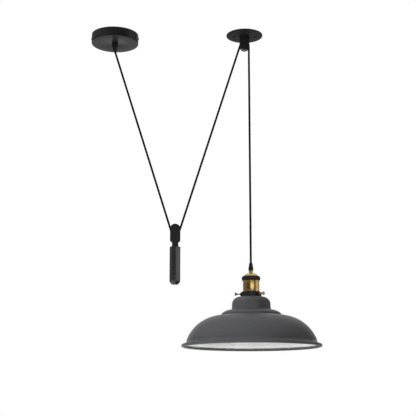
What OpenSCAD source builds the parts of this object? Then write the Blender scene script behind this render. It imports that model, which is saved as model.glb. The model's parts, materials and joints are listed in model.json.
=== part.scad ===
// Rise and fall pendant: a ceiling rose and a ceiling pulley joined by one braided cord, which carries a
// pulley block with a weight between them and the lamp at its end. All sizes are in millimetres.
// The origin is the centre of the rose's ceiling face, +Z is up and +X runs towards the lamp.

/* [Layout] */
// Sideways distance from the middle of the ceiling rose to the lamp's axis
lamp_x = 326.5; // [290:0.5:420]
// Drop from the ceiling to the axle of the counterweight's pulley
weight_drop = 482; // [440:1:560]
// Drop from the ceiling to the top of the lamp's cord grip
lamp_drop = 562; // [545:1:700]

/* [Cord] */
// Diameter of the braided cord
cord_d = 5; // [4.4:0.1:5.4]
// Radius of the cord's bend in the mouth of the rose's grip
cord_bend_r = 14; // [12:1:20]
// Diameter of each insulated wire inside the cord
wire_d = 1.6; // [1.2:0.1:2]

/* [Ceiling rose] */
// Outer diameter of the rose's cup
rose_d = 113.6; // [100:0.1:130]
// Depth of the rose's cup
rose_h = 22; // [20:1:40]
// Sheet thickness of the rose's cup
rose_wall = 1.2; // [0.8:0.1:2]
// Radius of the rose's lower edge
rose_edge_r = 2; // [1:0.5:4]
// Width of the strap that holds the cup
strap_w = 20; // [16:1:26]
// Thickness of the strap
strap_t = 2; // [1.5:0.1:3]
// Length of the strap's turned down legs
strap_leg = 14; // [13:1:18]
// Distance between the strap's two ceiling screw holes
strap_hole_span = 84; // [81:1:90]
// Diameter of the strap's ceiling screw holes
strap_hole_d = 4.5; // [3.5:0.1:5.5]
// Drop from the ceiling to the cup's side screws
side_screw_drop = 9; // [7:0.5:10]
// Thread diameter of the cup's side screws
side_screw_d = 4; // [3:0.5:5]
// Head diameter of the cup's side screws
side_screw_head_d = 7; // [6:0.5:9]

/* [Rose grip] */
// Length of the cord grip below the rose
rose_grip_h = 19; // [16:0.5:26]
// Diameter of the cord grip against the rose
rose_grip_d = 14.6; // [13:0.1:18]
// Diameter of the cord grip at its mouth
rose_grip_mouth_d = 9; // [8.4:0.1:11]
// Thread diameter of the cord grip
grip_thread_d = 9.8; // [9:0.1:10.4]
// Thickness of the nut that holds the grip
grip_nut_h = 4; // [3:0.5:5]
// Distance across the flats of that nut
grip_nut_af = 15; // [14:0.5:18]

/* [Terminals] */
// Length of the terminal block
block_l = 26; // [20:1:32]
// Width of the terminal block
block_w = 14; // [11:1:16]
// Height of the terminal block
block_h = 11; // [9:0.5:13]
// Distance from the rose's middle to the terminal block
block_offset = 21; // [18:1:26]
// Spacing of the terminal block's poles
pole_pitch = 8; // [6:0.5:9]
// Head diameter of the terminal screws
pole_screw_d = 3.4; // [2.5:0.1:4]
// Radius of the bends in the inner wires
wire_bend_r = 2; // [1.5:0.1:3]

/* [Ceiling pulley] */
// Diameter of the plate on the ceiling
plate_d = 88; // [70:1:100]
// Thickness of the plate at its middle
plate_t = 4; // [3.6:0.1:6]
// Thickness of the plate at its edge
plate_edge_t = 1.6; // [1:0.1:2]
// Distance between the plate's two screw holes
plate_hole_span = 54; // [44:1:66]
// Diameter of the plate's screw holes
plate_hole_d = 4.6; // [3.5:0.1:5.5]
// Drop from the ceiling to the axle of the ceiling pulley
hook_drop = 27; // [26:0.5:34]

/* [Pulley] */
// Radius from the axle to the middle of the cord in the groove
pitch_r = 10.5; // [10:0.1:13]
// Height of the wheel's lips above the cord's middle
lip_h = 1.1; // [0.6:0.1:1.6]
// Thickness of each lip
lip_t = 0.8; // [0.6:0.1:1.4]
// Clearance between the cord and its groove
groove_gap = 0.35; // [0.3:0.05:0.5]
// Diameter of the axle
axle_d = 5; // [4:0.1:6]
// Outer diameter of the wheel's bush
bush_d = 8; // [7.4:0.1:9]
// Radial running clearance of the bush on its axle
running_gap = 0.05; // [0.02:0.01:0.09]
// Gap between the wheel and each cheek
cheek_gap = 0.5; // [0.3:0.1:1]
// Thickness of each cheek
cheek_t = 3.5; // [2.5:0.1:4.5]
// Radius of the cheeks' round ends, which is half their width
cheek_r = 12; // [10:0.1:14]
// Size of the cut corners at the cheeks' square ends
corner_cut = 2; // [0.5:0.1:4]
// Thickness of the bridge between the cheeks
bridge_t = 4; // [3:0.1:6]
// Diameter of the axle's head
axle_head_d = 8.5; // [7.5:0.1:10]
// Height of the axle's head
axle_head_h = 1.8; // [1.2:0.1:2.5]
// Distance across the flats of the axle's nut
axle_nut_af = 8; // [7:0.5:10]
// Thickness of the axle's nut
axle_nut_h = 3; // [2.4:0.1:4]

/* [Counterweight] */
// Distance from the axle down to the underside of the counterweight's yoke
weight_reach = 29.5; // [27:0.5:40]
// Diameter of the neck between the yoke and the weight
neck_d = 16.5; // [10:0.1:19]
// Length of that neck
neck_h = 12.5; // [8:0.5:20]
// Depth of the turned waist round that neck
neck_waist = 0.8; // [0.5:0.1:2]
// Diameter of the neck's threaded studs
stud_d = 5; // [4:0.1:6]
// Depth of the neck's stud in the weight
stud_depth = 14; // [10:0.5:25]
// Thickness of the nut on the neck's upper stud
stud_nut_h = 3.5; // [3:0.1:5]
// Distance across the flats of that nut
stud_nut_af = 7.8; // [7:0.1:8]
// Distance across the flats of the eight sided weight
bar_af = 25; // [20:0.1:26]
// Length of the weight
bar_h = 88.5; // [70:0.5:130]
// Radius of the weight's turned lower end
bar_nose_r = 13.6; // [13.6:0.1:20]
// Radius of the flat in the middle of that end
bar_foot_r = 6; // [4:0.1:9]

/* [Lamp grip] */
// Length of the lamp's cord grip
lamp_grip_h = 18; // [15:0.5:26]
// Diameter of the lamp's cord grip at its mouth
lamp_grip_mouth_d = 8.2; // [7.6:0.1:10]
// Greatest diameter of the lamp's cord grip
lamp_grip_d = 11.8; // [10.5:0.1:14]
// Diameter of the lamp's cord grip at its foot
lamp_grip_foot_d = 10.8; // [10:0.1:13]
// Diameter of the brass nipple under the grip
nipple_d = 10.4; // [9.8:0.1:12]
// Height of the nipple that shows
nipple_h = 5.4; // [4:0.1:9]
// Thread diameter of the nipple inside the cap
nipple_thread_d = 9.2; // [8.6:0.1:9.6]
// Clearance between threads and their holes
thread_gap = 0.1; // [0.05:0.01:0.2]

/* [Lampholder] */
// Height of the domed cap
cap_h = 7.8; // [7:0.1:12]
// Radius of the dome's shoulder
cap_shoulder_r = 15.6; // [14:0.1:17]
// Sheet thickness of the brass parts
brass_t = 1; // [0.8:0.1:1.2]
// Outer diameter of the brass shell
shell_d = 38.6; // [38:0.1:41]
// Height of the shell between the knurled ring and the gallery
shell_show_h = 26; // [20:0.5:40]
// Length of the shell below the gallery's top
shell_tail_h = 18; // [15:0.5:24]
// Outer diameter of the knurled ring
knurl_d = 43; // [42:0.1:47]
// Height of the knurled ring
knurl_h = 10; // [6:0.1:12]
// Number of grooves round the knurled ring
knurl_count = 30; // [16:1:48]
// Radius of each of those grooves
knurl_groove_r = 1.1; // [0.6:0.1:1.4]
// Inside diameter of the lamp's screw socket
socket_d = 26.6; // [26.5:0.05:27]
// Length of the screw socket's thread
socket_l = 20; // [16:0.5:24]
// Sheet thickness of the screw socket
socket_t = 0.4; // [0.3:0.05:0.6]
// Height of the bulb contact below the bottom of its well
contact_h = 3; // [2:0.1:4]
// Diameter of the bulb contact
contact_d = 8; // [6:0.1:10]

/* [Shade gallery] */
// Outer diameter of the gallery that holds the shade
gallery_d = 48; // [47.4:0.1:52]
// Height of the gallery
gallery_h = 11.8; // [10:0.1:14]
// Sheet thickness of the gallery
gallery_t = 1; // [0.8:0.1:1.5]
// Height of the ring that locks the gallery to the lampholder
lock_ring_h = 5; // [4:0.5:7]
// Thickness of that ring's wall
lock_ring_t = 1.5; // [1:0.1:1.7]
// Drop from the gallery's top to its thumb screws
thumb_drop = 6; // [5:0.1:8]
// Turn of the first thumb screw from the +X side, in degrees
thumb_turn = 195; // [180:1:235]
// Thread diameter of the thumb screws
thumb_d = 3; // [2.5:0.1:3.6]
// Radial running clearance of the thumb screws in the gallery
thumb_gap = 0.05; // [0.02:0.01:0.09]
// Diameter of the thumb screws' flared heads
thumb_head_d = 9; // [7:0.1:11]
// Height of the thumb screws' flared heads
thumb_head_h = 5; // [4:0.1:7]
// Distance from the lamp's axis to the end of each thumb screw's head
thumb_reach = 38.5; // [38.5:0.5:44]
// Diameter of the bosses round the thumb screws
boss_d = 6.6; // [5.6:0.1:8]
// Height of those bosses above the gallery's wall
boss_h = 2.4; // [1:0.1:4]
// Gap between two pieces that move past each other
moving_gap = 0.35; // [0.3:0.05:0.5]

/* [Shade] */
// Sheet thickness of the shade
shade_t = 1; // [0.8:0.1:1.5]
// Radius of the shade's crown
crown_r = 44.4; // [38:0.1:50]
// Radius of the crown's upper edge
crown_edge_r = 16.8; // [10:0.1:17.5]
// Height of the crown
crown_h = 30; // [24:0.5:45]
// Outward flare of the crown's wall over its height
crown_flare = 0.7; // [0:0.1:2]
// Width of the middle tier beyond the crown
shoulder_w = 24.4; // [18:0.1:32]
// Height of the middle tier's round
shoulder_h = 10.1; // [8:0.1:16]
// Height of the straight step under the middle tier
shoulder_step = 3.2; // [2:0.1:8]
// Width of the big bowl beyond the middle tier
bowl_w = 78.6; // [60:0.1:86]
// Height of the big bowl
bowl_h = 54.1; // [40:0.1:70]
// Outer diameter of the shade over its rolled rim
rim_d = 321.2; // [316:0.1:360]
// Radius of the bead rolled round the rim
bead_r = 3.5; // [2.5:0.1:4.5]
// Drop from the bowl's lower edge to the middle of the bead
rim_drop = 13.8; // [11:0.1:20]
// Height of the neck that goes up inside the gallery
shade_neck_h = 9; // [7:0.1:9.5]

/* [Hidden] */
$fn = 96;
eps = 0.01;
// Clearance between fixed pieces that fit one inside the other.
fit_gap = 0.1;
black = "#1b1b1c";
steel = "#9a9a98";
brass = "#b08d3c";

cord_r = cord_d / 2;

// Pulley wheel and yoke.
groove_r = cord_r + groove_gap;
wheel_r = pitch_r + lip_h;
wheel_w = 2 * (groove_r + lip_t);
yoke_gap = wheel_w + 2 * cheek_gap;
yoke_w = yoke_gap + 2 * cheek_t;

// The run of the cord. The weight hangs where its two legs lean alike from the vertical.
hook_x = lamp_x - pitch_r;
rose_bend_z = -rose_h - rose_grip_h + 3;
legs_span_z = 2 * weight_drop + rose_bend_z - hook_drop;
legs_l_guess = sqrt(pow(hook_x, 2) + pow(legs_span_z, 2) - pow(3 * pitch_r, 2));
lean_guess = atan2(hook_x, legs_span_z) - atan2(3 * pitch_r, legs_l_guess);
// The line of the rose's leg meets the rose's axis a little below the start of the bend.
leg_meet_z = rose_bend_z - cord_bend_r * tan(lean_guess / 2);
legs_z = 2 * weight_drop + leg_meet_z - hook_drop;
legs_l = sqrt(pow(hook_x, 2) + pow(legs_z, 2) - pow(3 * pitch_r, 2));
lean = atan2(hook_x, legs_z) - atan2(3 * pitch_r, legs_l);
rose_leg_l = (leg_meet_z + weight_drop + pitch_r * sin(lean)) / cos(lean);
hook_leg_l = legs_l - rose_leg_l;
weight_x = pitch_r * cos(lean) + rose_leg_l * sin(lean);
bend_l = cord_bend_r * tan(lean / 2);

// Heights down the lamp.
grip_z = -lamp_drop;
nipple_z = grip_z - lamp_grip_h;
cap_z = nipple_z - nipple_h;
knurl_z = cap_z - cap_h;
shell_z = knurl_z - knurl_h;
gallery_z = shell_z - shell_show_h;
crown_z = gallery_z - gallery_h;
shell_foot_z = gallery_z - shell_tail_h;
cord_end_z = cap_z - 7;
cap_foot_z = shell_z + 1;
insert_z = cap_foot_z;
socket_z = shell_foot_z + 4;
well_z = socket_z + socket_l + contact_h;

shell_r = shell_d / 2;
insert_r = shell_r - brass_t - fit_gap;
socket_r = socket_d / 2;
gallery_r = gallery_d / 2;
neck_r = gallery_r - gallery_t - 0.6;
thumb_z = gallery_z - thumb_drop;
thumb_angles = [for (i = [0:2]) thumb_turn + 120 * i];

// Heights and radii down the shade.
shoulder_z = crown_z - crown_h;
shoulder_r = crown_r + crown_flare;
bowl_z = shoulder_z - shoulder_h - shoulder_step;
bowl_r = shoulder_r + shoulder_w;
bowl_foot_z = bowl_z - bowl_h;
bowl_foot_r = bowl_r + bowl_w;
bead_x = rim_d / 2 - bead_r;
bead_z = bowl_foot_z - rim_drop;
// The two lower tiers are quarter ellipses that stop short of upright, at these angles.
shoulder_turn = 20;
bowl_turn = 12;
shoulder_a = shoulder_w / cos(shoulder_turn);
shoulder_b = shoulder_h / (1 - sin(shoulder_turn));
bowl_a = bowl_w / cos(bowl_turn);
bowl_b = bowl_h / (1 - sin(bowl_turn));

// Points of an arc of an ellipse, from angle a0 to a1.
function arc_points(centre, rx, ry, a0, a1, n) =
    [for (i = [0:n]) centre + [rx * cos(a0 + (a1 - a0) * i / n), ry * sin(a0 + (a1 - a0) * i / n)]];

// A path moved sideways by d, to the left of its direction.
function side_path(p, d) = [
    for (i = [0:len(p) - 1])
        let (t = p[min(i + 1, len(p) - 1)] - p[max(i - 1, 0)])
        p[i] + d * [-t[1], t[0]] / norm(t)
];

function reversed(p) = [for (i = [len(p) - 1:-1:0]) p[i]];

module at_hook() { translate([hook_x, 0, -hook_drop]) children(); }

module at_weight() { translate([weight_x, 0, -weight_drop]) children(); }

module at_lamp() { translate([lamp_x, 0, 0]) children(); }

// A hollow or solid turned piece between two heights.
module ring(z0, z1, r, bore = 0) {
    translate([0, 0, min(z0, z1)])
        difference() {
            cylinder(r = r, h = abs(z1 - z0));
            if (bore > 0)
                translate([0, 0, -1]) cylinder(r = bore, h = abs(z1 - z0) + 2);
        }
}

// A six sided nut that stands on z = 0.
module hex_nut(af, h, bore) {
    difference() {
        cylinder(d = af / cos(30), h = h, $fn = 6);
        translate([0, 0, -1]) cylinder(r = bore, h = h + 2);
    }
}

// ---- Ceiling rose ----

module rose_cup() {
    r = rose_d / 2;
    hole_r = grip_thread_d / 2 + fit_gap;
    color(black)
        difference() {
            rotate_extrude()
                polygon(concat(
                    [[r - rose_wall, 0], [r, 0]],
                    arc_points([r - rose_edge_r, rose_edge_r - rose_h], rose_edge_r, rose_edge_r, 0, -90, 6),
                    [[hole_r, -rose_h], [hole_r, rose_wall - rose_h]],
                    [[r - rose_wall - 1, rose_wall - rose_h], [r - rose_wall, rose_wall + 1 - rose_h]]
                ));
            for (side = [-1, 1])
                translate([side * (r - rose_wall / 2), 0, -side_screw_drop])
                    rotate([0, 90, 0])
                        cylinder(d = side_screw_d + 2 * fit_gap, h = 3 * rose_wall, center = true, $fn = 48);
        }
}

// Inner half width that is left for the strap.
strap_x = rose_d / 2 - rose_wall - fit_gap;

module rose_strap() {
    color(steel)
        difference() {
            union() {
                translate([-strap_x, -strap_w / 2, -strap_t]) cube([2 * strap_x, strap_w, strap_t]);
                for (side = [-1, 1])
                    translate([side > 0 ? strap_x - strap_t : -strap_x, -strap_w / 2, -strap_leg])
                        cube([strap_t, strap_w, strap_leg]);
            }
            // The strap's corners follow the round of the cup.
            difference() {
                translate([0, 0, -strap_leg - 1]) cylinder(r = rose_d, h = strap_leg + 2);
                translate([0, 0, -strap_leg - 2]) cylinder(r = strap_x, h = strap_leg + 4);
            }
            for (side = [-1, 1]) {
                translate([side * strap_hole_span / 2, 0, -strap_t - 1])
                    cylinder(d = strap_hole_d, h = strap_t + 2);
                translate([side * strap_x, 0, -side_screw_drop])
                    rotate([0, 90, 0])
                        cylinder(d = side_screw_d + 2 * fit_gap, h = 4 * strap_t, center = true, $fn = 48);
            }
        }
}

module rose_side_screws() {
    color(black)
        for (turn = [0, 180])
            rotate([0, 0, turn])
                translate([0, 0, -side_screw_drop])
                    rotate([0, 90, 0]) {
                        translate([0, 0, strap_x - strap_t - 2])
                            cylinder(d = side_screw_d, h = rose_wall + fit_gap + strap_t + 2.5, $fn = 48);
                        translate([0, 0, rose_d / 2])
                            cylinder(d1 = side_screw_head_d, d2 = side_screw_head_d - 2, h = 1.3, $fn = 48);
                    }
}

module rose_grip() {
    mouth_z = -rose_h - rose_grip_h;
    color(black)
        difference() {
            rotate_extrude()
                polygon(concat(
                    [[0, -rose_h + rose_wall + grip_nut_h + 1.5],
                     [grip_thread_d / 2, -rose_h + rose_wall + grip_nut_h + 1.5],
                     [grip_thread_d / 2, -rose_h], [rose_grip_d / 2, -rose_h]],
                    [[rose_grip_d / 2, -rose_h - 0.3 * rose_grip_h]],
                    arc_points([rose_grip_mouth_d / 2 - 1, mouth_z + 1], 1, 1, 0, -90, 4),
                    [[0, mouth_z]]
                ));
            translate([0, 0, mouth_z - 1]) cylinder(r = cord_r + fit_gap, h = rose_grip_h + rose_h);
            // The mouth is wider where the cord bends away.
            translate([0, 0, mouth_z - 1]) cylinder(r = cord_r + 0.8, h = 1 + 4);
        }
}

module rose_grip_nut() {
    color(steel)
        translate([0, 0, rose_wall - rose_h])
            hex_nut(grip_nut_af, grip_nut_h, grip_thread_d / 2 + fit_gap / 2);
}

// Height at which the cord ends inside the rose and its wires part.
rose_cord_top = -rose_h + rose_wall + grip_nut_h + 3;

// Height of the wires in the terminal block, and the spots of its six screws.
pole_z = -strap_t - block_h + 4;
pole_spots = [
    for (i = [-1:1], x = [0.25, 0.75]) [-block_offset - x * block_w, i * pole_pitch, -strap_t - block_h]
];

module terminal_block() {
    color("#d8d4c8")
        difference() {
            translate([-block_offset - block_w, -block_l / 2, -strap_t - block_h])
                cube([block_w, block_l, block_h]);
            // Grooves that part the three poles.
            for (side = [-1, 1])
                translate([-block_offset - block_w - 1, side * pole_pitch / 2 - 0.6, -strap_t - 3])
                    cube([block_w + 2, 1.2, 4]);
            for (i = [-1:1])
                translate([-block_offset - block_w - 1, i * pole_pitch, pole_z])
                    rotate([0, 90, 0]) cylinder(d = wire_d + 1, h = block_w + 2, $fn = 32);
            for (p = pole_spots)
                translate(p - [0, 0, 1]) cylinder(d = pole_screw_d + 0.4, h = 2.5, $fn = 32);
        }
}

module terminal_screws() {
    color(brass)
        for (p = pole_spots)
            translate(p + [0, 0, 0.3])
                difference() {
                    cylinder(d = pole_screw_d, h = 1.2, $fn = 32);
                    translate([-pole_screw_d, -0.3, -1]) cube([2 * pole_screw_d, 0.6, 1.6]);
                }
}

// A quarter bend of wire, from straight up to the +X direction; its start is at the origin.
module wire_bend() {
    translate([wire_bend_r, 0, 0])
        rotate([90, 0, 0])
            rotate([0, 0, 90])
                rotate_extrude(angle = 90) translate([wire_bend_r, 0]) circle(r = wire_d / 2, $fn = 32);
}

// A straight run of wire up from the origin.
module wire_run(l) { cylinder(d = wire_d, h = l, $fn = 32); }

module rose_wires() {
    color("#8a5a3a")
        for (i = [-1:1]) {
            foot = [0.9 - 1.9 * abs(i), i * 0.95, rose_cord_top];
            // From the foot to the mouth of the wire's hole in the block.
            v = [-block_offset - 0.5 - foot[0], i * (pole_pitch - 0.95)];
            rise = pole_z - wire_bend_r - rose_cord_top;
            translate(foot)
                rotate([0, 0, atan2(v[1], v[0])]) {
                    wire_run(rise);
                    translate([0, 0, rise]) wire_bend();
                    translate([wire_bend_r, 0, rise + wire_bend_r])
                        rotate([0, 90, 0]) wire_run(norm(v) - wire_bend_r);
                }
        }
}

// ---- Pulleys ----

// A grooved wheel with its axis on Y.
module pulley_wheel() {
    rotate([90, 0, 0])
        rotate_extrude()
            difference() {
                polygon([
                    [bush_d / 2, -wheel_w / 2], [wheel_r - 0.4, -wheel_w / 2], [wheel_r, 0.4 - wheel_w / 2],
                    [wheel_r, wheel_w / 2 - 0.4], [wheel_r - 0.4, wheel_w / 2], [bush_d / 2, wheel_w / 2]
                ]);
                translate([pitch_r, 0]) circle(r = groove_r);
                translate([pitch_r, -groove_r]) square([groove_r, 2 * groove_r]);
            }
}

// The wheel's flanged bush, with its axis on Y.
module pulley_bush() {
    rotate([90, 0, 0])
        difference() {
            translate([0, 0, -wheel_w / 2]) cylinder(d = bush_d, h = wheel_w);
            translate([0, 0, -wheel_w]) cylinder(r = axle_d / 2 + running_gap, h = 2 * wheel_w);
        }
}

// A yoke with its axle at the origin and its bridge below it; stud_r is the hole through the bridge.
// Its sides draw in a little towards the axle, so that they run into the round ends.
module pulley_yoke(reach, stud_r) {
    top_x = cheek_r - 0.2;
    cut_z = corner_cut - reach;
    difference() {
        rotate([90, 0, 0])
            translate([0, 0, -yoke_w / 2])
                union() {
                    cylinder(r = cheek_r, h = yoke_w);
                    linear_extrude(yoke_w)
                        polygon([
                            [-top_x, 0], [top_x, 0], [cheek_r, cut_z], [cheek_r - corner_cut, -reach],
                            [corner_cut - cheek_r, -reach], [-cheek_r, cut_z]
                        ]);
                }
        translate([-2 * cheek_r, -yoke_gap / 2, bridge_t - reach]) cube([4 * cheek_r, yoke_gap, 4 * reach]);
        rotate([90, 0, 0])
            translate([0, 0, -yoke_w]) cylinder(d = axle_d + 2 * fit_gap, h = 2 * yoke_w);
        translate([0, 0, -reach - 1]) cylinder(r = stud_r, h = bridge_t + 2);
    }
}

// The axle's pin, its head towards -Y and its threaded end towards +Y.
module pulley_axle() {
    rotate([-90, 0, 0]) {
        translate([0, 0, -yoke_w / 2]) cylinder(d = axle_d, h = yoke_w + axle_nut_h + 0.8);
        translate([0, 0, -yoke_w / 2 - axle_head_h])
            difference() {
                union() {
                    translate([0, 0, 0.5]) cylinder(d = axle_head_d, h = axle_head_h - 0.5);
                    cylinder(d1 = axle_head_d - 1, d2 = axle_head_d, h = 0.5);
                }
                // Screwdriver slot.
                translate([-axle_head_d, -0.5, -1]) cube([2 * axle_head_d, 1, 1.8]);
            }
    }
}

module pulley_axle_nut() {
    translate([0, yoke_w / 2, 0])
        rotate([-90, 0, 0]) hex_nut(axle_nut_af, axle_nut_h, axle_d / 2 + fit_gap / 2);
}

// The countersunk head of the screw through the plate.
sink_d = stud_d + 2 * fit_gap;
sink_h = 2.2;

module hook_plate() {
    r = plate_d / 2;
    dome = plate_t - plate_edge_t;
    color(black)
        at_hook()
            translate([0, 0, hook_drop])
                difference() {
                    rotate_extrude()
                        polygon(concat(
                            [[0, 0], [r, 0], [r, -plate_edge_t]],
                            arc_points([cheek_r + 4, -plate_edge_t], r - cheek_r - 4, dome, 0, -90, 8),
                            [[0, -plate_t]]
                        ));
                    for (side = [-1, 1])
                        translate([side * plate_hole_span / 2, 0, 0]) {
                            translate([0, 0, -2 * plate_t]) cylinder(d = plate_hole_d, h = 3 * plate_t);
                            translate([0, 0, -plate_t - 0.4])
                                cylinder(d1 = 2 * plate_hole_d, d2 = plate_hole_d, h = plate_hole_d / 2);
                        }
                    translate([0, 0, -2 * plate_t]) cylinder(d = stud_d + 2 * fit_gap, h = 3 * plate_t);
                    translate([0, 0, -sink_h - fit_gap])
                        cylinder(d1 = sink_d, d2 = sink_d + 2 * (sink_h + 1), h = sink_h + 1);
                }
}

module hook_yoke() {
    color(black)
        at_hook() mirror([0, 0, 1]) pulley_yoke(hook_drop - plate_t, stud_d / 2 + fit_gap);
}

module hook_yoke_screw() {
    color(steel)
        at_hook()
            translate([0, 0, hook_drop]) {
                translate([0, 0, -plate_t - bridge_t + 0.2]) cylinder(d = stud_d, h = plate_t + bridge_t - 1);
                translate([0, 0, -sink_h])
                    cylinder(d1 = sink_d, d2 = sink_d + 2 * sink_h - 0.4, h = sink_h - 0.2);
            }
}

module hook_axle() { color(steel) at_hook() pulley_axle(); }

module hook_axle_nut() { color(steel) at_hook() pulley_axle_nut(); }

module hook_wheel() { color(steel) at_hook() pulley_wheel(); }

module hook_wheel_bush() { color(brass) at_hook() pulley_bush(); }

// ---- Counterweight ----

module counterweight_yoke() { color(black) at_weight() pulley_yoke(weight_reach, stud_d / 2 + fit_gap); }

module counterweight_axle() { color(steel) at_weight() pulley_axle(); }

module counterweight_axle_nut() { color(steel) at_weight() pulley_axle_nut(); }

module counterweight_wheel() { color(steel) at_weight() pulley_wheel(); }

module counterweight_wheel_bush() { color(brass) at_weight() pulley_bush(); }

module counterweight_neck() {
    color(black)
        at_weight()
            translate([0, 0, -weight_reach]) {
                rotate_extrude()
                    polygon(concat(
                        [[0, 0], [neck_d / 2, 0]],
                        arc_points([neck_d / 2, -neck_h / 2], neck_waist, neck_h / 2 - 1, 90, 270, 6),
                        [[neck_d / 2, -neck_h], [0, -neck_h]]
                    ));
                cylinder(d = stud_d, h = bridge_t + stud_nut_h + 1);
                translate([0, 0, -neck_h - stud_depth]) cylinder(d = stud_d, h = stud_depth + 1);
            }
}

module counterweight_neck_nut() {
    color(steel)
        at_weight()
            translate([0, 0, bridge_t - weight_reach])
                hex_nut(stud_nut_af, stud_nut_h, stud_d / 2 + fit_gap / 2);
}

module counterweight_bar() {
    nose_z = sqrt(pow(bar_nose_r, 2) - pow(bar_foot_r, 2));
    color("#3a3a3b")
        at_weight()
            translate([0, 0, -weight_reach - neck_h - bar_h])
                difference() {
                    intersection() {
                        rotate([0, 0, 22.5]) cylinder(d = bar_af / cos(22.5), h = bar_h, $fn = 8);
                        union() {
                            translate([0, 0, nose_z]) sphere(r = bar_nose_r);
                            translate([0, 0, nose_z]) cylinder(r = bar_nose_r, h = bar_h);
                        }
                    }
                    translate([0, 0, bar_h - stud_depth - 0.5])
                        cylinder(d = stud_d + 2 * fit_gap, h = stud_depth + 1);
                }
}

// ---- Cord ----

cord_color = "#101011";

module cord_rose_tail() {
    color(cord_color) {
        translate([0, 0, rose_bend_z]) cylinder(r = cord_r, h = rose_cord_top - rose_bend_z);
        translate([cord_bend_r, 0, rose_bend_z])
            rotate([90, 0, 0])
                rotate([0, 0, 180])
                    rotate_extrude(angle = lean) translate([cord_bend_r, 0]) circle(r = cord_r);
    }
}

module cord_rose_leg() {
    start = [bend_l * sin(lean), 0, leg_meet_z - bend_l * cos(lean)];
    color(cord_color)
        translate(start)
            rotate([0, 180 - lean, 0])
                cylinder(r = cord_r, h = rose_leg_l - bend_l);
}

module cord_weight_turn() {
    color(cord_color)
        at_weight()
            rotate([90, 0, 0])
                rotate([0, 0, 180 + lean])
                    rotate_extrude(angle = 180 - 2 * lean) translate([pitch_r, 0]) circle(r = cord_r);
}

module cord_hook_leg() {
    color(cord_color)
        at_weight()
            translate([pitch_r * cos(lean), 0, -pitch_r * sin(lean)])
                rotate([0, lean, 0]) cylinder(r = cord_r, h = hook_leg_l);
}

module cord_hook_turn() {
    color(cord_color)
        at_hook()
            rotate([90, 0, 0])
                rotate_extrude(angle = 180 - lean) translate([pitch_r, 0]) circle(r = cord_r);
}

module cord_lamp_drop() {
    color(cord_color)
        translate([lamp_x, 0, grip_z]) cylinder(r = cord_r, h = -grip_z - hook_drop);
}

module cord_lamp_tail() {
    color(cord_color) at_lamp() ring(grip_z, cord_end_z, cord_r);
}

// ---- Lampholder ----

module lamp_grip() {
    foot_r = lamp_grip_foot_d / 2;
    wide_r = lamp_grip_d / 2;
    mouth_r = lamp_grip_mouth_d / 2;
    spigot = nipple_h - 1;
    color(black)
        at_lamp()
            difference() {
                rotate_extrude()
                    polygon([
                        [0, grip_z], [mouth_r - 0.6, grip_z], [mouth_r, grip_z - 0.6],
                        [mouth_r + 0.5, grip_z - 0.35 * lamp_grip_h],
                        [wide_r - 0.3, grip_z - 0.6 * lamp_grip_h],
                        [wide_r, grip_z - 0.7 * lamp_grip_h], [foot_r, nipple_z],
                        [cord_r + 1, nipple_z], [cord_r + 1, nipple_z - spigot], [0, nipple_z - spigot]
                    ]);
                ring(grip_z + 1, nipple_z - spigot - 1, cord_r + fit_gap);
            }
}

module lamp_nipple() {
    foot_z = cap_z - 6;
    color(brass)
        at_lamp()
            difference() {
                union() {
                    ring(nipple_z, cap_z, nipple_d / 2);
                    ring(cap_z + eps, foot_z, nipple_thread_d / 2);
                }
                ring(nipple_z + 1, foot_z - 1, cord_r + 1 + fit_gap);
            }
}

// The nut has a round collar that fits inside the dome.
module lamp_nipple_nut() {
    top_z = cap_z - brass_t;
    bore = nipple_thread_d / 2 + thread_gap;
    color(brass)
        at_lamp() {
            ring(top_z, top_z - 1, nipple_d / 2, bore);
            translate([0, 0, top_z - 3.6]) hex_nut(nipple_thread_d + 4, 3, bore);
        }
}

// The dome falls in a round shoulder from a small flat at the nipple to the cap's skirt.
cap_r = shell_r + 0.3;
dome_turn = acos((nipple_d / 2 + 0.1 - cap_r + cap_shoulder_r) / cap_shoulder_r);
dome = [cap_r - cap_shoulder_r, cap_z - cap_shoulder_r * sin(dome_turn)];

module lamp_cap() {
    bore = nipple_thread_d / 2 + thread_gap;
    in_r = cap_shoulder_r - brass_t;
    color(brass)
        at_lamp()
            rotate_extrude()
                polygon(concat(
                    [[bore, cap_z]],
                    arc_points(dome, cap_shoulder_r, cap_shoulder_r, dome_turn, 0, 9),
                    [[cap_r, cap_foot_z], [cap_r - brass_t, cap_foot_z]],
                    arc_points(dome, in_r, in_r, 0, dome_turn, 9),
                    [[bore, cap_z - brass_t]]
                ));
}

module knurled_ring() {
    r = knurl_d / 2;
    grip_r = cap_shoulder_r + fit_gap;
    top_turn = asin((knurl_z - dome[1]) / grip_r);
    color(black)
        at_lamp()
            difference() {
                // The cap's foot stands on a step inside the ring.
                rotate_extrude()
                    polygon(concat(
                        arc_points(dome, grip_r, grip_r, 0, top_turn, 4),
                        [[r - 1.6, knurl_z], [r, knurl_z - 2.4], [r, shell_z + 2], [r - 1.4, shell_z]],
                        [[shell_r + fit_gap, shell_z], [shell_r + fit_gap, cap_foot_z]],
                        [[cap_r + fit_gap, cap_foot_z]]
                    ));
                for (i = [0:knurl_count - 1])
                    rotate([0, 0, i * 360 / knurl_count])
                        translate([r + 0.35 * knurl_groove_r, 0, shell_z - 1])
                            cylinder(r = knurl_groove_r, h = knurl_h + 2, $fn = 24);
            }
}

// The shell's foot turns in under the ceramic insert.
module holder_shell() {
    color(brass)
        at_lamp() {
            ring(cap_foot_z, shell_foot_z, shell_r, shell_r - brass_t);
            ring(shell_foot_z + 1, shell_foot_z, shell_r - brass_t / 2, shell_r - brass_t - 1.6);
        }
}

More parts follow.
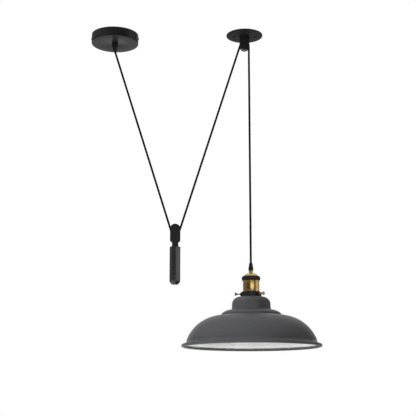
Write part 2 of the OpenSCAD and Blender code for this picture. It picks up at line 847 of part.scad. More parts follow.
// Distance from the lamp's axis to its two terminal screws, and their size.
lamp_pole_x = 10.5;
lamp_pole_r = 2.1;
lamp_pole_h = 2.2;
lamp_pole_sink = 3;

module socket_insert() {
    well_r = socket_r + socket_t + fit_gap;
    color("#e8e4da")
        at_lamp()
            difference() {
                ring(insert_z, shell_foot_z + 1, insert_r);
                ring(socket_z + socket_l, shell_foot_z, well_r);
                // Above the screw socket the well is narrower, so that the socket stands against a step.
                ring(well_z, socket_z, well_r - 3);
                for (side = [-1, 1])
                    translate([side * lamp_pole_x, 0, insert_z - lamp_pole_sink])
                        cylinder(r = lamp_pole_r + 0.3, h = lamp_pole_sink + 1, $fn = 32);
            }
}

module socket_screws() {
    color(brass)
        at_lamp()
            for (side = [-1, 1])
                translate([side * lamp_pole_x, 0, insert_z - lamp_pole_sink])
                    difference() {
                        cylinder(r = lamp_pole_r, h = lamp_pole_h, $fn = 32);
                        translate([-2 * lamp_pole_r, -0.3, lamp_pole_h - 0.7])
                            cube([4 * lamp_pole_r, 0.6, 1]);
                    }
}

module socket_shell() {
    color(brass) at_lamp() ring(socket_z, socket_z + socket_l, socket_r + socket_t, socket_r);
}

module socket_contact() {
    color(brass)
        at_lamp() {
            ring(well_z, well_z - 1, contact_d / 2 + 1);
            ring(well_z - 0.5, well_z - contact_h + 0.8, contact_d / 2 - 1);
        }
}

// Each wire leaves the cord's end, runs out and turns down onto its screw.
module lamp_wires() {
    wire_x = 1.3;
    run_z = (cord_end_z + insert_z) / 2;
    color("#8a5a3a")
        at_lamp()
            for (turn = [0, 180])
                rotate([0, 0, turn])
                    translate([wire_x, 0, 0]) {
                        translate([0, 0, run_z + wire_bend_r]) wire_run(cord_end_z - run_z - wire_bend_r);
                        translate([0, 0, run_z + wire_bend_r]) mirror([0, 0, 1]) wire_bend();
                        translate([wire_bend_r, 0, run_z])
                            rotate([0, 90, 0]) wire_run(lamp_pole_x - wire_x - 2 * wire_bend_r);
                        translate([lamp_pole_x - wire_x, 0, run_z - wire_bend_r])
                            mirror([1, 0, 0]) wire_bend();
                        translate([lamp_pole_x - wire_x, 0, insert_z - lamp_pole_sink + lamp_pole_h])
                            wire_run(run_z - wire_bend_r - insert_z + lamp_pole_sink - lamp_pole_h);
                    }
}

// ---- Gallery, shade and thumb screws ----

module shade_gallery() {
    color(black)
        at_lamp()
            difference() {
                union() {
                    rotate_extrude()
                        polygon([
                            [shell_r + fit_gap, gallery_z], [gallery_r - 1.2, gallery_z],
                            [gallery_r, gallery_z - 1.2],
                            [gallery_r, crown_z], [gallery_r - gallery_t, crown_z],
                            [gallery_r - gallery_t, gallery_z - 1.5], [shell_r + fit_gap, gallery_z - 1.5]
                        ]);
                    for (a = thumb_angles)
                        translate([0, 0, thumb_z])
                            rotate([0, 90, a])
                                translate([0, 0, gallery_r - 0.6])
                                    cylinder(d = boss_d, h = boss_h + 0.6, $fn = 48);
                }
                for (a = thumb_angles)
                    translate([0, 0, thumb_z])
                        rotate([0, 90, a])
                            translate([0, 0, gallery_r - 4])
                                cylinder(r = thumb_d / 2 + thumb_gap, h = boss_h + 8, $fn = 48);
            }
}

module gallery_lock_ring() {
    top_z = gallery_z - 1.5;
    color(black)
        at_lamp()
            ring(top_z, top_z - lock_ring_h, shell_r + fit_gap + lock_ring_t, shell_r + fit_gap / 2);
}

// The shade's outer line, from the neck's top down to the bead.
shade_path = concat(
    [[neck_r, crown_z + shade_neck_h], [neck_r, crown_z + 0.5], [neck_r + 0.5, crown_z]],
    arc_points([crown_r - crown_edge_r, crown_z - crown_edge_r], crown_edge_r, crown_edge_r, 90, 0, 8),
    arc_points([shoulder_r, shoulder_z - shoulder_b], shoulder_a, shoulder_b, 90, shoulder_turn, 8),
    arc_points([bowl_r, bowl_z - bowl_b], bowl_a, bowl_b, 90, bowl_turn, 16),
    // The wall flares out over the top of the bead and rolls round to its inner side.
    arc_points([bead_x, bowl_foot_z], bead_x - bowl_foot_r, rim_drop - bead_r, 186, 266, 6),
    arc_points([bead_x, bead_z], bead_r, bead_r, 90, -190, 20)
);

module shade() {
    color("#4c4d4f")
        at_lamp() rotate_extrude() polygon(concat(shade_path, reversed(side_path(shade_path, -shade_t))));
}

// One thumb screw, along the direction that it turns out in.
module thumb_screw(i) {
    tip_r = neck_r + moving_gap;
    neck_z = thumb_reach - thumb_head_h;
    color("#b58a5a")
        at_lamp()
            translate([0, 0, thumb_z])
                rotate([0, 90, thumb_angles[i]])
                    rotate_extrude($fn = 48)
                        polygon([
                            [0, tip_r], [thumb_d / 2 - 0.5, tip_r], [thumb_d / 2, tip_r + 0.5],
                            [thumb_d / 2, neck_z],
                            [thumb_d / 2 + 0.4, neck_z + 0.2 * thumb_head_h],
                            [0.36 * thumb_head_d, neck_z + 0.55 * thumb_head_h],
                            [thumb_head_d / 2, thumb_reach - 0.8], [thumb_head_d / 2, thumb_reach],
                            [0.36 * thumb_head_d, thumb_reach], [0.2 * thumb_head_d, thumb_reach - 1.4],
                            [0, thumb_reach - 1.6]
                        ]);
}

module thumb_screw_1() { thumb_screw(0); }

module thumb_screw_2() { thumb_screw(1); }

module thumb_screw_3() { thumb_screw(2); }

rose_cup();
rose_strap();
rose_side_screws();
rose_grip();
rose_grip_nut();
terminal_block();
terminal_screws();
rose_wires();
hook_plate();
hook_yoke();
hook_yoke_screw();
hook_axle();
hook_axle_nut();
hook_wheel();
hook_wheel_bush();
counterweight_yoke();
counterweight_axle();
counterweight_axle_nut();
counterweight_wheel();
counterweight_wheel_bush();
counterweight_neck();
counterweight_neck_nut();
counterweight_bar();
cord_rose_tail();
cord_rose_leg();
cord_weight_turn();
cord_hook_leg();
cord_hook_turn();
cord_lamp_drop();
cord_lamp_tail();
lamp_grip();
lamp_nipple();
lamp_nipple_nut();
lamp_cap();
knurled_ring();
holder_shell();
socket_insert();
socket_screws();
socket_shell();
socket_contact();
lamp_wires();
shade_gallery();
gallery_lock_ring();
shade();
thumb_screw_1();
thumb_screw_2();
thumb_screw_3();
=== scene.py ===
"""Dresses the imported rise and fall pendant, and sets its stage.

Every length is in metres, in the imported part's frame: the origin is the middle of the rose's ceiling
face, +Z is up and +X runs from the rose towards the lamp.
"""

import json
import math

import bpy
from bpy.props import FloatProperty, FloatVectorProperty, IntProperty, PointerProperty
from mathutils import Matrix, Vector


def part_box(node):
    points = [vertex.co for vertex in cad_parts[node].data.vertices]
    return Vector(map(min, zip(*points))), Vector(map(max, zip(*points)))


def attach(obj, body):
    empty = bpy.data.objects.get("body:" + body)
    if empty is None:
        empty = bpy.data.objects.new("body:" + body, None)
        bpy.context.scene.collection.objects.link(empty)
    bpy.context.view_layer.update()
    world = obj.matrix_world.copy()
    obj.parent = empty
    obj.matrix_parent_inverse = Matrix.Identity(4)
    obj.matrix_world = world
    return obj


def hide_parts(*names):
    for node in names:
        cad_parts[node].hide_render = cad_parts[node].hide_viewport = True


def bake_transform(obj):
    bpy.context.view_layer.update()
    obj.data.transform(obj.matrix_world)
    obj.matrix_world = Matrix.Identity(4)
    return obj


bl_info = {
    "name": "Rise and fall pendant",
    "version": (1, 0, 0),
    "blender": (4, 2, 0),
    "location": "View3D > Sidebar > Pendant",
    "description": "Models the looks of a pendant lamp with a counterweight around its packed frame",
    "category": "Object",
}

MM = 0.001
FULL_TURN = 2 * math.pi
UP = Vector((0, 0, 1))
AWAY = Vector((0, 1, 0))

# Room between pieces that fit together, and how near two points have to be to become one.
GAP, WELD = 0.0001, 2e-6
# Degrees: edges past the first are shaded sharp, softening rounds those past the second, and faces
# that meet within the third become one face.
CREASE, BEVELLED, LEVEL = 38, 32, 0.5

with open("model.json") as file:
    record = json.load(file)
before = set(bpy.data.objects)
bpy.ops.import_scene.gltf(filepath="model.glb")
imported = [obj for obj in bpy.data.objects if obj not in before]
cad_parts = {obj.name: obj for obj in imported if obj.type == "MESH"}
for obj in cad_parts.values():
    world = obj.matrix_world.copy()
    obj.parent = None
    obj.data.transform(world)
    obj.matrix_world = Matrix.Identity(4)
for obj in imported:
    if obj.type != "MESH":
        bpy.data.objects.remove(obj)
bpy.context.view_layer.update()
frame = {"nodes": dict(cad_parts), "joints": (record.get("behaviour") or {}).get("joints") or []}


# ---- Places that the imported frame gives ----


def middle(node):
    low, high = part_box(node)
    return (low + high) / 2


def ends(node):
    """The heights of a node's foot and top."""
    low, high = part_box(node)
    return low.z, high.z


def foot(node):
    return ends(node)[0]


def top(node):
    return ends(node)[1]


def reach(node):
    """Half of a node's width along X, which is the radius of one that is turned about Z."""
    low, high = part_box(node)
    return (high.x - low.x) / 2


HOOK = middle("hook_wheel")
WEIGHT = middle("counterweight_wheel")
LAMP = Vector((middle("holder_shell").x, 0, 0))
CORD_RADIUS = reach("cord_lamp_drop")
TURN_RADIUS = LAMP.x - HOOK.x


# ---- Sizes and colours that a user may change ----


def size_of(name, words, default, low=0.0, high=1.0):
    return FloatProperty(
        name=name, description=words, default=default, min=low, max=high,
        unit="LENGTH", precision=5,
    )


def colour_of(name, words, default):
    return FloatVectorProperty(
        name=name, description=words, default=default, min=0, max=1, size=3, subtype="COLOR"
    )


def number_of(name, words, default):
    return FloatProperty(name=name, description=words, default=default, min=0)


def share_of(name, words, default):
    return FloatProperty(
        name=name, description=words, default=default, min=0, max=1, subtype="FACTOR"
    )


class PENDANT_PG_cord(bpy.types.PropertyGroup):
    bend_radius: size_of("Bend", "Radius of the bend in the rose grip's mouth", 0.014)
    bend_inside: size_of("Bend inside grip", "How far inside the mouth the bend starts", 0.003)
    strand_length: size_of("Strand length", "Length along the cord of one strand's crossing", 0.0031)
    strand_height: size_of("Strand height", "Height of the strands over the cord's round", 0.00013)
    strands: IntProperty(
        name="Strands", description="Strands that wind each way round the cord", default=6, min=3
    )
    colour: colour_of("Braid", "Colour of the woven sheath", (0.005, 0.005, 0.0055))


class PENDANT_PG_shade(bpy.types.PropertyGroup):
    wall: size_of("Sheet", "Thickness of the shade's sheet", 0.001)
    crown_edge: size_of("Crown edge", "Radius of the crown's upper edge", 0.0168)
    crown_radius: size_of("Crown radius", "Radius of the crown's wall", 0.0444)
    crown_height: size_of("Crown height", "Height of the crown", 0.030)
    crown_flare: size_of("Crown flare", "How far the crown's wall leans out", 0.0007)
    shoulder_width: size_of("Shoulder width", "Width of the middle tier", 0.0244)
    shoulder_height: size_of("Shoulder height", "Height of the middle tier's round", 0.0101)
    shoulder_step: size_of("Shoulder step", "Height of the step under the middle tier", 0.0032)
    bowl_width: size_of("Bowl width", "Width of the big bowl beyond the middle tier", 0.0786)
    bowl_height: size_of("Bowl height", "Height of the big bowl's round", 0.0541)
    bead_radius: size_of("Bead", "Radius of the bead rolled round the rim", 0.0035)
    outside: colour_of("Outside", "Enamel on the outside", (0.078, 0.079, 0.083))
    inside: colour_of("Inside", "Enamel on the inside", (0.80, 0.80, 0.79))


class PENDANT_PG_finish(bpy.types.PropertyGroup):
    black: colour_of("Black paint", "Powder coat of the rose, plate and yokes", (0.014, 0.014, 0.014))
    weight: colour_of("Weight paint", "Paint of the counterweight's bar", (0.012, 0.012, 0.0125))
    grip: colour_of("Grip plastic", "Moulded plastic of the cord grips", (0.006, 0.006, 0.006))
    brass: colour_of("Brass", "Lampholder's shell and dome", (0.70, 0.46, 0.15))
    tarnish: colour_of("Tarnish", "Tint of the dulled spots on the brass", (0.42, 0.23, 0.06))
    thumb: colour_of("Thumb screws", "Reddish brass of the thumb screws", (0.74, 0.52, 0.37))
    steel: colour_of("Steel", "Oiled steel", (0.52, 0.52, 0.51))
    ceramic: colour_of("Insulator", "Glazed insert and terminal block", (0.74, 0.71, 0.65))


class PENDANT_PG_stage(bpy.types.PropertyGroup):
    lens: FloatProperty(name="Lens", description="Focal length", default=81.35, min=1, unit="CAMERA")
    tilt: FloatProperty(
        name="Tilt", description="How far the camera looks up", default=math.radians(12.0),
        subtype="ANGLE",
    )
    camera_place: FloatVectorProperty(
        name="Camera", description="Where the camera stands", default=(0.22703, -2.16136, -0.89059),
        subtype="TRANSLATION",
    )
    floor_drop: size_of("Floor", "Drop from the ceiling to the floor", 1.35, 0.8, 4.0)
    floor_radius: size_of("Floor radius", "Radius of the pale floor", 4.0, 1.0, 6.0)
    floor_glow: share_of("Floor glow", "How much paler the camera sees the floor", 0.40)
    fill: number_of("Fill", "Light from all round", 0.10)
    key: number_of("Key", "Soft light from the left, in watts", 58)
    lift: number_of("Lift", "Soft light from below, in watts", 4.7)
    card: number_of("Card", "Small card for the brass, in watts", 0.62)


# ---- Modelling by hand ----


def begin():
    """Leaves edit mode and deselects everything."""
    if bpy.context.mode != "OBJECT":
        leave()
    bpy.ops.object.select_all(action="DESELECT")


def choose(piece):
    begin()
    piece.select_set(True)
    bpy.context.view_layer.objects.active = piece


def edit(action="SELECT"):
    """Enters edit mode with all of the mesh selected, or with none of it."""
    bpy.ops.object.mode_set(mode="EDIT")
    bpy.ops.mesh.select_all(action=action)


def leave():
    bpy.ops.object.mode_set(mode="OBJECT")


def apply_modifier(piece, kind, **settings):
    modifier = piece.modifiers.new(kind.title(), kind)
    for name, value in settings.items():
        setattr(modifier, name, value)
    choose(piece)
    bpy.ops.object.modifier_apply(modifier=modifier.name)


def soften(piece, width, segments=2):
    """Rounds every sharp edge of a piece."""
    apply_modifier(
        piece, "BEVEL", width=width, segments=segments, limit_method="ANGLE",
        angle_limit=math.radians(BEVELLED), use_clamp_overlap=True,
    )


def carve(piece, tool, operation="DIFFERENCE"):
    apply_modifier(piece, "BOOLEAN", object=tool, operation=operation, solver="EXACT")
    bpy.data.objects.remove(tool)


def smooth(piece, degrees):
    choose(piece)
    bpy.ops.object.transform_apply(location=True, rotation=True, scale=True)
    bpy.ops.object.shade_smooth_by_angle(angle=math.radians(degrees))


def arc(centre, width, height, start, end, steps):
    """Points of an ellipse's arc, between two angles in degrees."""
    turns = [math.radians(start + (end - start) * i / steps) for i in range(steps + 1)]
    return [(centre[0] + width * math.cos(t), centre[1] + height * math.sin(t)) for t in turns]


def rounded(line, radius, closed=True, steps=3):
    """A line with its corners rounded. A closed line starts and ends at the same place."""
    nearly_straight, most_of_edge = math.radians(165), 0.45
    points = [Vector(p) for p in line]
    count = len(points)
    made = []
    for i, here in enumerate(points):
        before, after = points[i - 1] - here, points[(i + 1) % count] - here
        loose_end = not closed and i in (0, count - 1)
        if loose_end or before.angle(after, 0) > nearly_straight:
            made.append(here)
            continue
        cut = min(radius, before.length * most_of_edge, after.length * most_of_edge)
        a, b = here + before.normalized() * cut, here + after.normalized() * cut
        for k in range(steps + 1):
            t = k / steps
            made.append(a * (1 - t) ** 2 + here * (2 * t * (1 - t)) + b * t**2)
    if closed:
        made.append(made[0])
    return made


def turned(profile, centre, axis=UP, steps=96):
    """Draws a profile out of one vertex, as (distance from the axis, distance along it), and spins it."""
    axis = Vector(axis).normalized()
    out = Vector((1, 0, 0)) if abs(axis.x) < 0.5 else AWAY
    out = (out - axis * out.dot(axis)).normalized()
    points = [centre + out * p[0] + axis * p[1] for p in profile]
    begin()
    bpy.ops.mesh.primitive_plane_add(size=MM, location=points[0])
    piece = bpy.context.object
    edit()
    bpy.ops.mesh.merge(type="CENTER")
    for a, b in zip(points, points[1:]):
        bpy.ops.mesh.extrude_region_move(TRANSFORM_OT_translate={"value": b - a})
    bpy.ops.mesh.select_all(action="SELECT")
    bpy.ops.mesh.spin(steps=steps, angle=FULL_TURN, center=centre, axis=axis)
    bpy.ops.mesh.select_all(action="SELECT")
    bpy.ops.mesh.remove_doubles(threshold=WELD)
    bpy.ops.mesh.normals_make_consistent(inside=False)
    leave()
    return piece


def copied(node, edge):
    """A copy of a CAD node whose loose triangles are merged and whose edges are rounded."""
    piece = bpy.data.objects.new(node + "_dressed", frame["nodes"][node].data.copy())
    bpy.context.scene.collection.objects.link(piece)
    piece.data.materials.clear()
    choose(piece)
    edit()
    bpy.ops.mesh.remove_doubles(threshold=WELD)
    bpy.ops.mesh.dissolve_limited(angle_limit=math.radians(LEVEL))
    leave()
    soften(piece, edge)
    return piece


def placed(piece, node, body, slot, name=None, crease=CREASE, flat=False):
    """Names a finished piece, gives it its finish, and lets it ride on a body in its node's place.

    A piece that is flat has faces that look flat right up to their rounded edges.
    """
    smooth(piece, crease)
    if flat:
        apply_modifier(piece, "WEIGHTED_NORMAL", keep_sharp=True)
    piece.name = piece.data.name = name or node + "_piece"
    if not piece.data.materials:
        piece.data.materials.append(finish(slot))
    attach(piece, body)
    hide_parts(node)


def lathed(section, node, body, slot, centre, corner, steps, corner_steps=3):
    """Turns a closed section about the upright, and puts it in its node's place."""
    piece = turned(rounded(section, corner, steps=corner_steps), centre, steps=steps)
    placed(piece, node, body, slot)


def finish_node(node, slot):
    """Gives a CAD node that stays in view its finish."""
    shown = frame["nodes"][node]
    if not shown.material_slots:
        shown.data.materials.append(None)
    for place in shown.material_slots:
        place.link = "OBJECT"
        place.material = finish(slot)


def dress(nodes, body, slot, edge, coat=None):
    """Dresses CAD nodes whose shape is right with rounded edges, and with another coat if one is named."""
    for node in nodes:
        piece = copied(node, edge)
        if coat:
            piece.data.materials.append(finish(coat))
        placed(piece, node, body, slot, flat=True)


# ---- Shader maths ----


class Value:
    """A number in a node tree; Python's operators add Math nodes."""

    def __init__(self, nodes, socket):
        self.nodes, self.socket = nodes, socket

    def math(self, operation, *numbers):
        """Adds a Math node that takes these numbers, or this one alone."""
        made = self.nodes.node("ShaderNodeMath", {"operation": operation})
        for place, number in zip(made.inputs, numbers or (self,)):
            self.nodes.feed(place, number)
        return self.nodes.value(made)

    def __add__(self, other):
        return self.math("ADD", self, other)

    def __sub__(self, other):
        return self.math("SUBTRACT", self, other)

    def __rsub__(self, other):
        return self.math("SUBTRACT", other, self)

    def __mul__(self, other):
        return self.math("MULTIPLY", self, other)

    def __gt__(self, other):
        return self.math("GREATER_THAN", self, other)

    __radd__, __rmul__ = __add__, __mul__

    def sine(self):
        return self.math("SINE")

    def capped(self):
        return self.math("MINIMUM", self, 1.0)

    def ramp(self, low, high):
        """0 below low and 1 above high, with a soft change between."""
        settings = {"interpolation_type": "SMOOTHSTEP"}
        made = self.nodes.node("ShaderNodeMapRange", settings, Value=self, From_Min=low, From_Max=high)
        return self.nodes.value(made, "Result")


class Nodes:
    """A node tree, and the one way in which nodes are added to it."""

    def __init__(self, tree):
        self.tree = tree

    def node(self, kind, settings=None, **sockets):
        """A node with its settings made first, and then its sockets' values or links."""
        made = self.tree.nodes.new(kind)
        for name, value in (settings or {}).items():
            setattr(made, name, value)
        for name, value in sockets.items():
            self.feed(made.inputs[name.replace("_", " ")], value)
        return made

    def feed(self, place, value):
        if isinstance(value, Value):
            self.tree.links.new(value.socket, place)
        elif isinstance(value, bpy.types.NodeSocket):
            self.tree.links.new(value, place)
        else:
            place.default_value = value

    def value(self, node, output=0):
        return Value(self, node.outputs[output])


class Finish(Nodes):
    """One material and its Principled shader."""

    def __init__(self, name, **sockets):
        self.material = bpy.data.materials.new(name)
        self.material.use_nodes = True
        super().__init__(self.material.node_tree)
        self.shader = self.tree.nodes["Principled BSDF"]
        for name, value in sockets.items():
            self.paint(name.replace("_", " "), value)

    def object_point(self):
        return self.node("ShaderNodeTexCoord").outputs["Object"]

    def axes(self, vector):
        """The three numbers of a vector."""
        split = self.node("ShaderNodeSeparateXYZ", Vector=vector)
        return [self.value(split, i) for i in range(3)]

    def noise(self, vector, scale, detail=3.0, stretch=None):
        """A noise with scale features a metre, stretched along the axes where asked."""
        if stretch:
            settings = {"vector_type": "POINT"}
            vector = self.node("ShaderNodeMapping", settings, Vector=vector, Scale=stretch).outputs[0]
        made = self.node("ShaderNodeTexNoise", Vector=vector, Scale=scale, Detail=detail)
        return self.value(made, "Fac")

    def mix(self, share, first, second):
        """Two colours, or sockets with colours, mixed by a share."""
        made = self.node("ShaderNodeMix", {"data_type": "RGBA"})
        self.feed(made.inputs[0], share)
        for place, shade in ((made.inputs[6], first), (made.inputs[7], second)):
            self.feed(place, shade if isinstance(shade, bpy.types.NodeSocket) else (*shade, 1))
        return made.outputs[2]

    def paint(self, socket, value):
        self.feed(self.shader.inputs[socket], value)

    def bump(self, height, depth, strength=1.0):
        made = self.node("ShaderNodeBump", Height=height, Strength=strength, Distance=depth)
        self.paint("Normal", made.outputs[0])


def rays(made):
    """What sees a surface: 1 for the camera, for a glossy ray and for one that came through glass."""
    path = made.node("ShaderNodeLightPath")
    return [made.value(path, f"Is {kind} Ray") for kind in ("Camera", "Glossy", "Transmission")]


def scaled(colour, factor):
    return tuple(min(1.0, c * factor) for c in colour)


# ---- Finishes ----


def enamel(name, colour, roughness, peel, coat=0.0, gloss=0.5):
    """Sprayed paint: a fine orange peel, soft cloudy tone and a little dust in its gloss."""
    made = Finish(name, Coat_Roughness=0.18, Coat_IOR=1.7, Specular_IOR_Level=gloss)
    point = made.object_point()
    cloud = made.noise(point, 14, 4)
    grain = made.noise(point, 1900, 2)
    made.paint("Base Color", made.mix(cloud.ramp(0.3, 0.7), scaled(colour, 0.93), scaled(colour, 1.07)))
    made.paint("Roughness", roughness + (cloud - 0.5) * 0.16 + (grain - 0.5) * 0.08)
    if coat:
        made.paint("Coat Weight", coat)
    made.bump(grain, peel, 0.35)
    return made.material


def metal(name, colour, dull, roughness, lacquer=0.0):
    """Turned metal, lacquered or bare: tool lines round its axis, and cloudy dulled spots."""
    across, tool_lines = 40, 5200
    made = Finish(name, Metallic=1.0, Coat_Weight=lacquer, Coat_Roughness=0.08)
    point = made.object_point()
    rings = made.noise(point, 1.0, 2, stretch=(across, across, tool_lines))
    cloud = made.noise(point, 95, 5)
    spots = cloud.ramp(0.48, 0.78)
    made.paint("Base Color", made.mix(spots * 0.55, colour, dull))
    made.paint("Roughness", roughness + spots * 0.14 + (rings - 0.5) * 0.10)
    made.bump(rings, 0.00003, 0.25)
    return made.material


def braid(name, colour):
    """Woven sheath: the strands lie as on the cord's own relief, each with its own fibres, with painted
    shade in the weave's valleys and painted highlight on its crowns and fibres.
    """
    sizes = bpy.context.scene.pendant_cord
    made = Finish(name, Specular_IOR_Level=0.2)
    along, around, _ = made.axes(made.node("ShaderNodeTexCoord").outputs["UV"])
    turn = FULL_TURN * sizes.strands
    pitch = FULL_TURN / sizes.strand_length
    left = (along * pitch + around * turn).sine()
    right = (along * pitch - around * turn).sine()
    weave = left * right * 0.5 + 0.5
    fibres = (along * (pitch * 9) + around * (turn * 5)).sine() * 0.5 + 0.5
    # Painted shade darkens the weave's valleys, painted highlight lightens its crowns, and painted sheen
    # lightens its fibres.
    shaded_valley, crown, fibre_sheen = (scaled(colour, share) for share in (0.45, 1.35, 2.2))
    lit = made.mix(weave.ramp(0.2, 0.9), shaded_valley, crown)
    made.paint("Base Color", made.mix(fibres * 0.3, lit, fibre_sheen))
    made.paint("Roughness", 0.82 - weave * 0.16)
    made.bump(weave + fibres * 0.35, 0.00012, 0.8)
    return made.material


def moulded(name, colour, roughness, speckle):
    """Moulded plastic or glaze, faintly mottled."""
    made = Finish(name)
    point = made.object_point()
    mottle = made.noise(point, 420, 4)
    made.paint("Base Color", made.mix(mottle.ramp(0.35, 0.65), scaled(colour, 1 / speckle), colour))
    made.paint("Roughness", roughness + (mottle - 0.5) * 0.2)
    made.bump(mottle, 0.00006, 0.3)
    return made.material


def sheathed_wire(name):
    """Brown, blue and green wires, told apart by where they lie: three in the rose, two in the lamp."""
    brown, blue, green = (0.16, 0.055, 0.02), (0.02, 0.06, 0.28), (0.20, 0.33, 0.03)
    half_gap, fine_grain = 0.0004, 900
    made = Finish(name, Roughness=0.35)
    point = made.object_point()
    x, y, _ = made.axes(point)
    in_lamp = x > LAMP.x / 2
    in_rose = 1 - in_lamp
    behind, before = y > half_gap, y > -half_gap
    blue_side = (x > LAMP.x) * in_lamp + behind * in_rose
    earth = (1 - behind) * before * in_rose
    made.paint("Base Color", made.mix(earth, made.mix(blue_side, brown, blue), green))
    made.bump(made.noise(point, fine_grain, 2), 0.00003, 0.3)
    return made.material


# What makes each finish: a function, the material's name, its colours and its settings.
FINISHES = {
    "satin_black": (enamel, "satin_black_powder", ["black"], dict(roughness=0.38, peel=6e-5, gloss=0.32)),
    "matt_black": (enamel, "matt_black_powder", ["black"], dict(roughness=0.62, peel=8e-5, gloss=0.22)),
    "dark_weight": (enamel, "weight_paint", ["weight"], dict(roughness=0.30, peel=4e-5, coat=0.9)),
    "grey_shade": (enamel, "grey_enamel", ["outside"], dict(roughness=0.46, peel=5e-5)),
    "white_inside": (enamel, "white_enamel", ["inside"], dict(roughness=0.30, peel=4e-5)),
    "steel": (metal, "oiled_steel", ["steel", (0.30, 0.30, 0.30)], dict(roughness=0.28)),
    "blackened": (metal, "blackened_steel", [(0.09, 0.09, 0.09), (0.05, 0.05, 0.05)], dict(roughness=0.34)),
    "brass": (metal, "lacquered_brass", ["brass", "tarnish"], dict(roughness=0.22, lacquer=0.8)),
    "thumb_brass": (metal, "reddish_brass", ["thumb", (0.35, 0.18, 0.10)], dict(roughness=0.24)),
    "black_grip": (moulded, "grip_plastic", ["grip"], dict(roughness=0.5, speckle=1.25)),
    "white_block": (moulded, "glazed_insulator", ["ceramic"], dict(roughness=0.22, speckle=1.08)),
    "braided_cord": (braid, "braided_sheath", ["colour"], {}),
    "wire_sheath": (sheathed_wire, "wire_insulation", [], {}),
}
MADE = {}


def finish(slot):
    """Each finish is made once. A colour's name stands for one that the user may change."""
    if slot not in MADE:
        make, name, colours, settings = FINISHES[slot]
        groups = [getattr(bpy.context.scene, group) for group in GROUPS]
        named = {key: group for group in groups for key in group.__annotations__}
        colours = [getattr(named[c], c) if isinstance(c, str) else c for c in colours]
        MADE[slot] = make(name, *colours, **settings)
    return MADE[slot]


# ---- Cords ----


def in_plane(x, z):
    return Vector((x, 0, z))


def round_the(centre, start, end, radius=TURN_RADIUS):
    """Points on a circle in the pendant's plane, at about 3 degrees each. Angles in degrees from +X."""
    step = 3
    steps = max(2, round(abs(end - start) / step))
    return [in_plane(*p) for p in arc((centre.x, centre.z), radius, radius, start, end, steps)]


def straight(start, end, step=0.02):
    count = max(2, round((end - start).length / step))
    return [start.lerp(end, i / count) for i in range(count + 1)]


def chain(*runs):
    """Runs of points joined into one, without their doubled ends."""
    made = list(runs[0])
    for run in runs[1:]:
        made += run[1:]
    return made


def line_length(points):
    return sum((b - a).length for a, b in zip(points, points[1:]))


def evenly(points, step):
    """The same line with points at even steps."""
    total = line_length(points)
    count = round(total / step)
    made, run, i = [], 0.0, 0
    for k in range(count + 1):
        wanted = total * k / count
        while i < len(points) - 2 and run + (points[i + 1] - points[i]).length < wanted:
            run += (points[i + 1] - points[i]).length
            i += 1
        piece = points[i + 1] - points[i]
        made.append(points[i] + piece * min(1.0, (wanted - run) / piece.length))
    return made


def woven_tube(name, points, begun, ring_step=0.00052, sides=36):
    """A cord's tube with its woven relief, and the length at its end.

    Its UV map holds the length so far in metres, and the share of the way round.
    """
    sizes = bpy.context.scene.pendant_cord
    points = evenly(points, ring_step)
    count = len(points)
    verts, faces, marks, run = [], [], [], begun
    for i, here in enumerate(points):
        ahead = (points[min(i + 1, count - 1)] - points[max(i - 1, 0)]).normalized()
        side = ahead.cross(AWAY)
        run += (here - points[i - 1]).length if i else 0
        marks.append(run)
        phase = FULL_TURN * run / sizes.strand_length
        for k in range(sides):
            turn = FULL_TURN * k / sides
            swell = math.sin(phase + turn * sizes.strands) * math.sin(phase - turn * sizes.strands)
            radius = CORD_RADIUS - sizes.strand_height * (0.5 - 0.5 * swell)
            verts.append(here + (side * math.cos(turn) + AWAY * math.sin(turn)) * radius)
    for i in range(count - 1):
        for k in range(sides):
            a, b = i * sides + k, i * sides + (k + 1) % sides
            faces.append((a, b, b + sides, a + sides))
    faces.append(tuple(range(sides)))
    faces.append(tuple(reversed(range((count - 1) * sides, count * sides))))
    mesh = bpy.data.meshes.new(name)
    mesh.from_pydata([tuple(v) for v in verts], [], faces)
    layer = mesh.uv_layers.new(name="UVMap")
    for face in mesh.polygons:
        wrap = len(face.vertices) == 4 and max(v % sides for v in face.vertices) == sides - 1
        for loop in face.loop_indices:
            vertex = mesh.loops[loop].vertex_index
            k = vertex % sides
            share = 1.0 if wrap and k == 0 else k / sides
            layer.data[loop].uv = (marks[vertex // sides], share)
    piece = bpy.data.objects.new(name, mesh)
    bpy.context.scene.collection.objects.link(piece)
    choose(piece)
    edit()
    bpy.ops.mesh.normals_make_consistent(inside=False)
    leave()
    bpy.ops.object.shade_smooth()
    mesh.materials.append(finish("braided_cord"))
    return piece, run


def held_cord(name, points, begun, node, body):
    """An end of cord that moves with one body."""
    piece, run = woven_tube(name, points, begun)
    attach(piece, body)
    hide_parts(node)
    return run


def free_cord(name, points, begun, nodes):
    """A run of cord that is held at both ends, made in place in the scene's frame."""
    piece, run = woven_tube(name, points, begun)
    line_length(points)
    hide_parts(*nodes)
    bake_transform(piece)
    return run


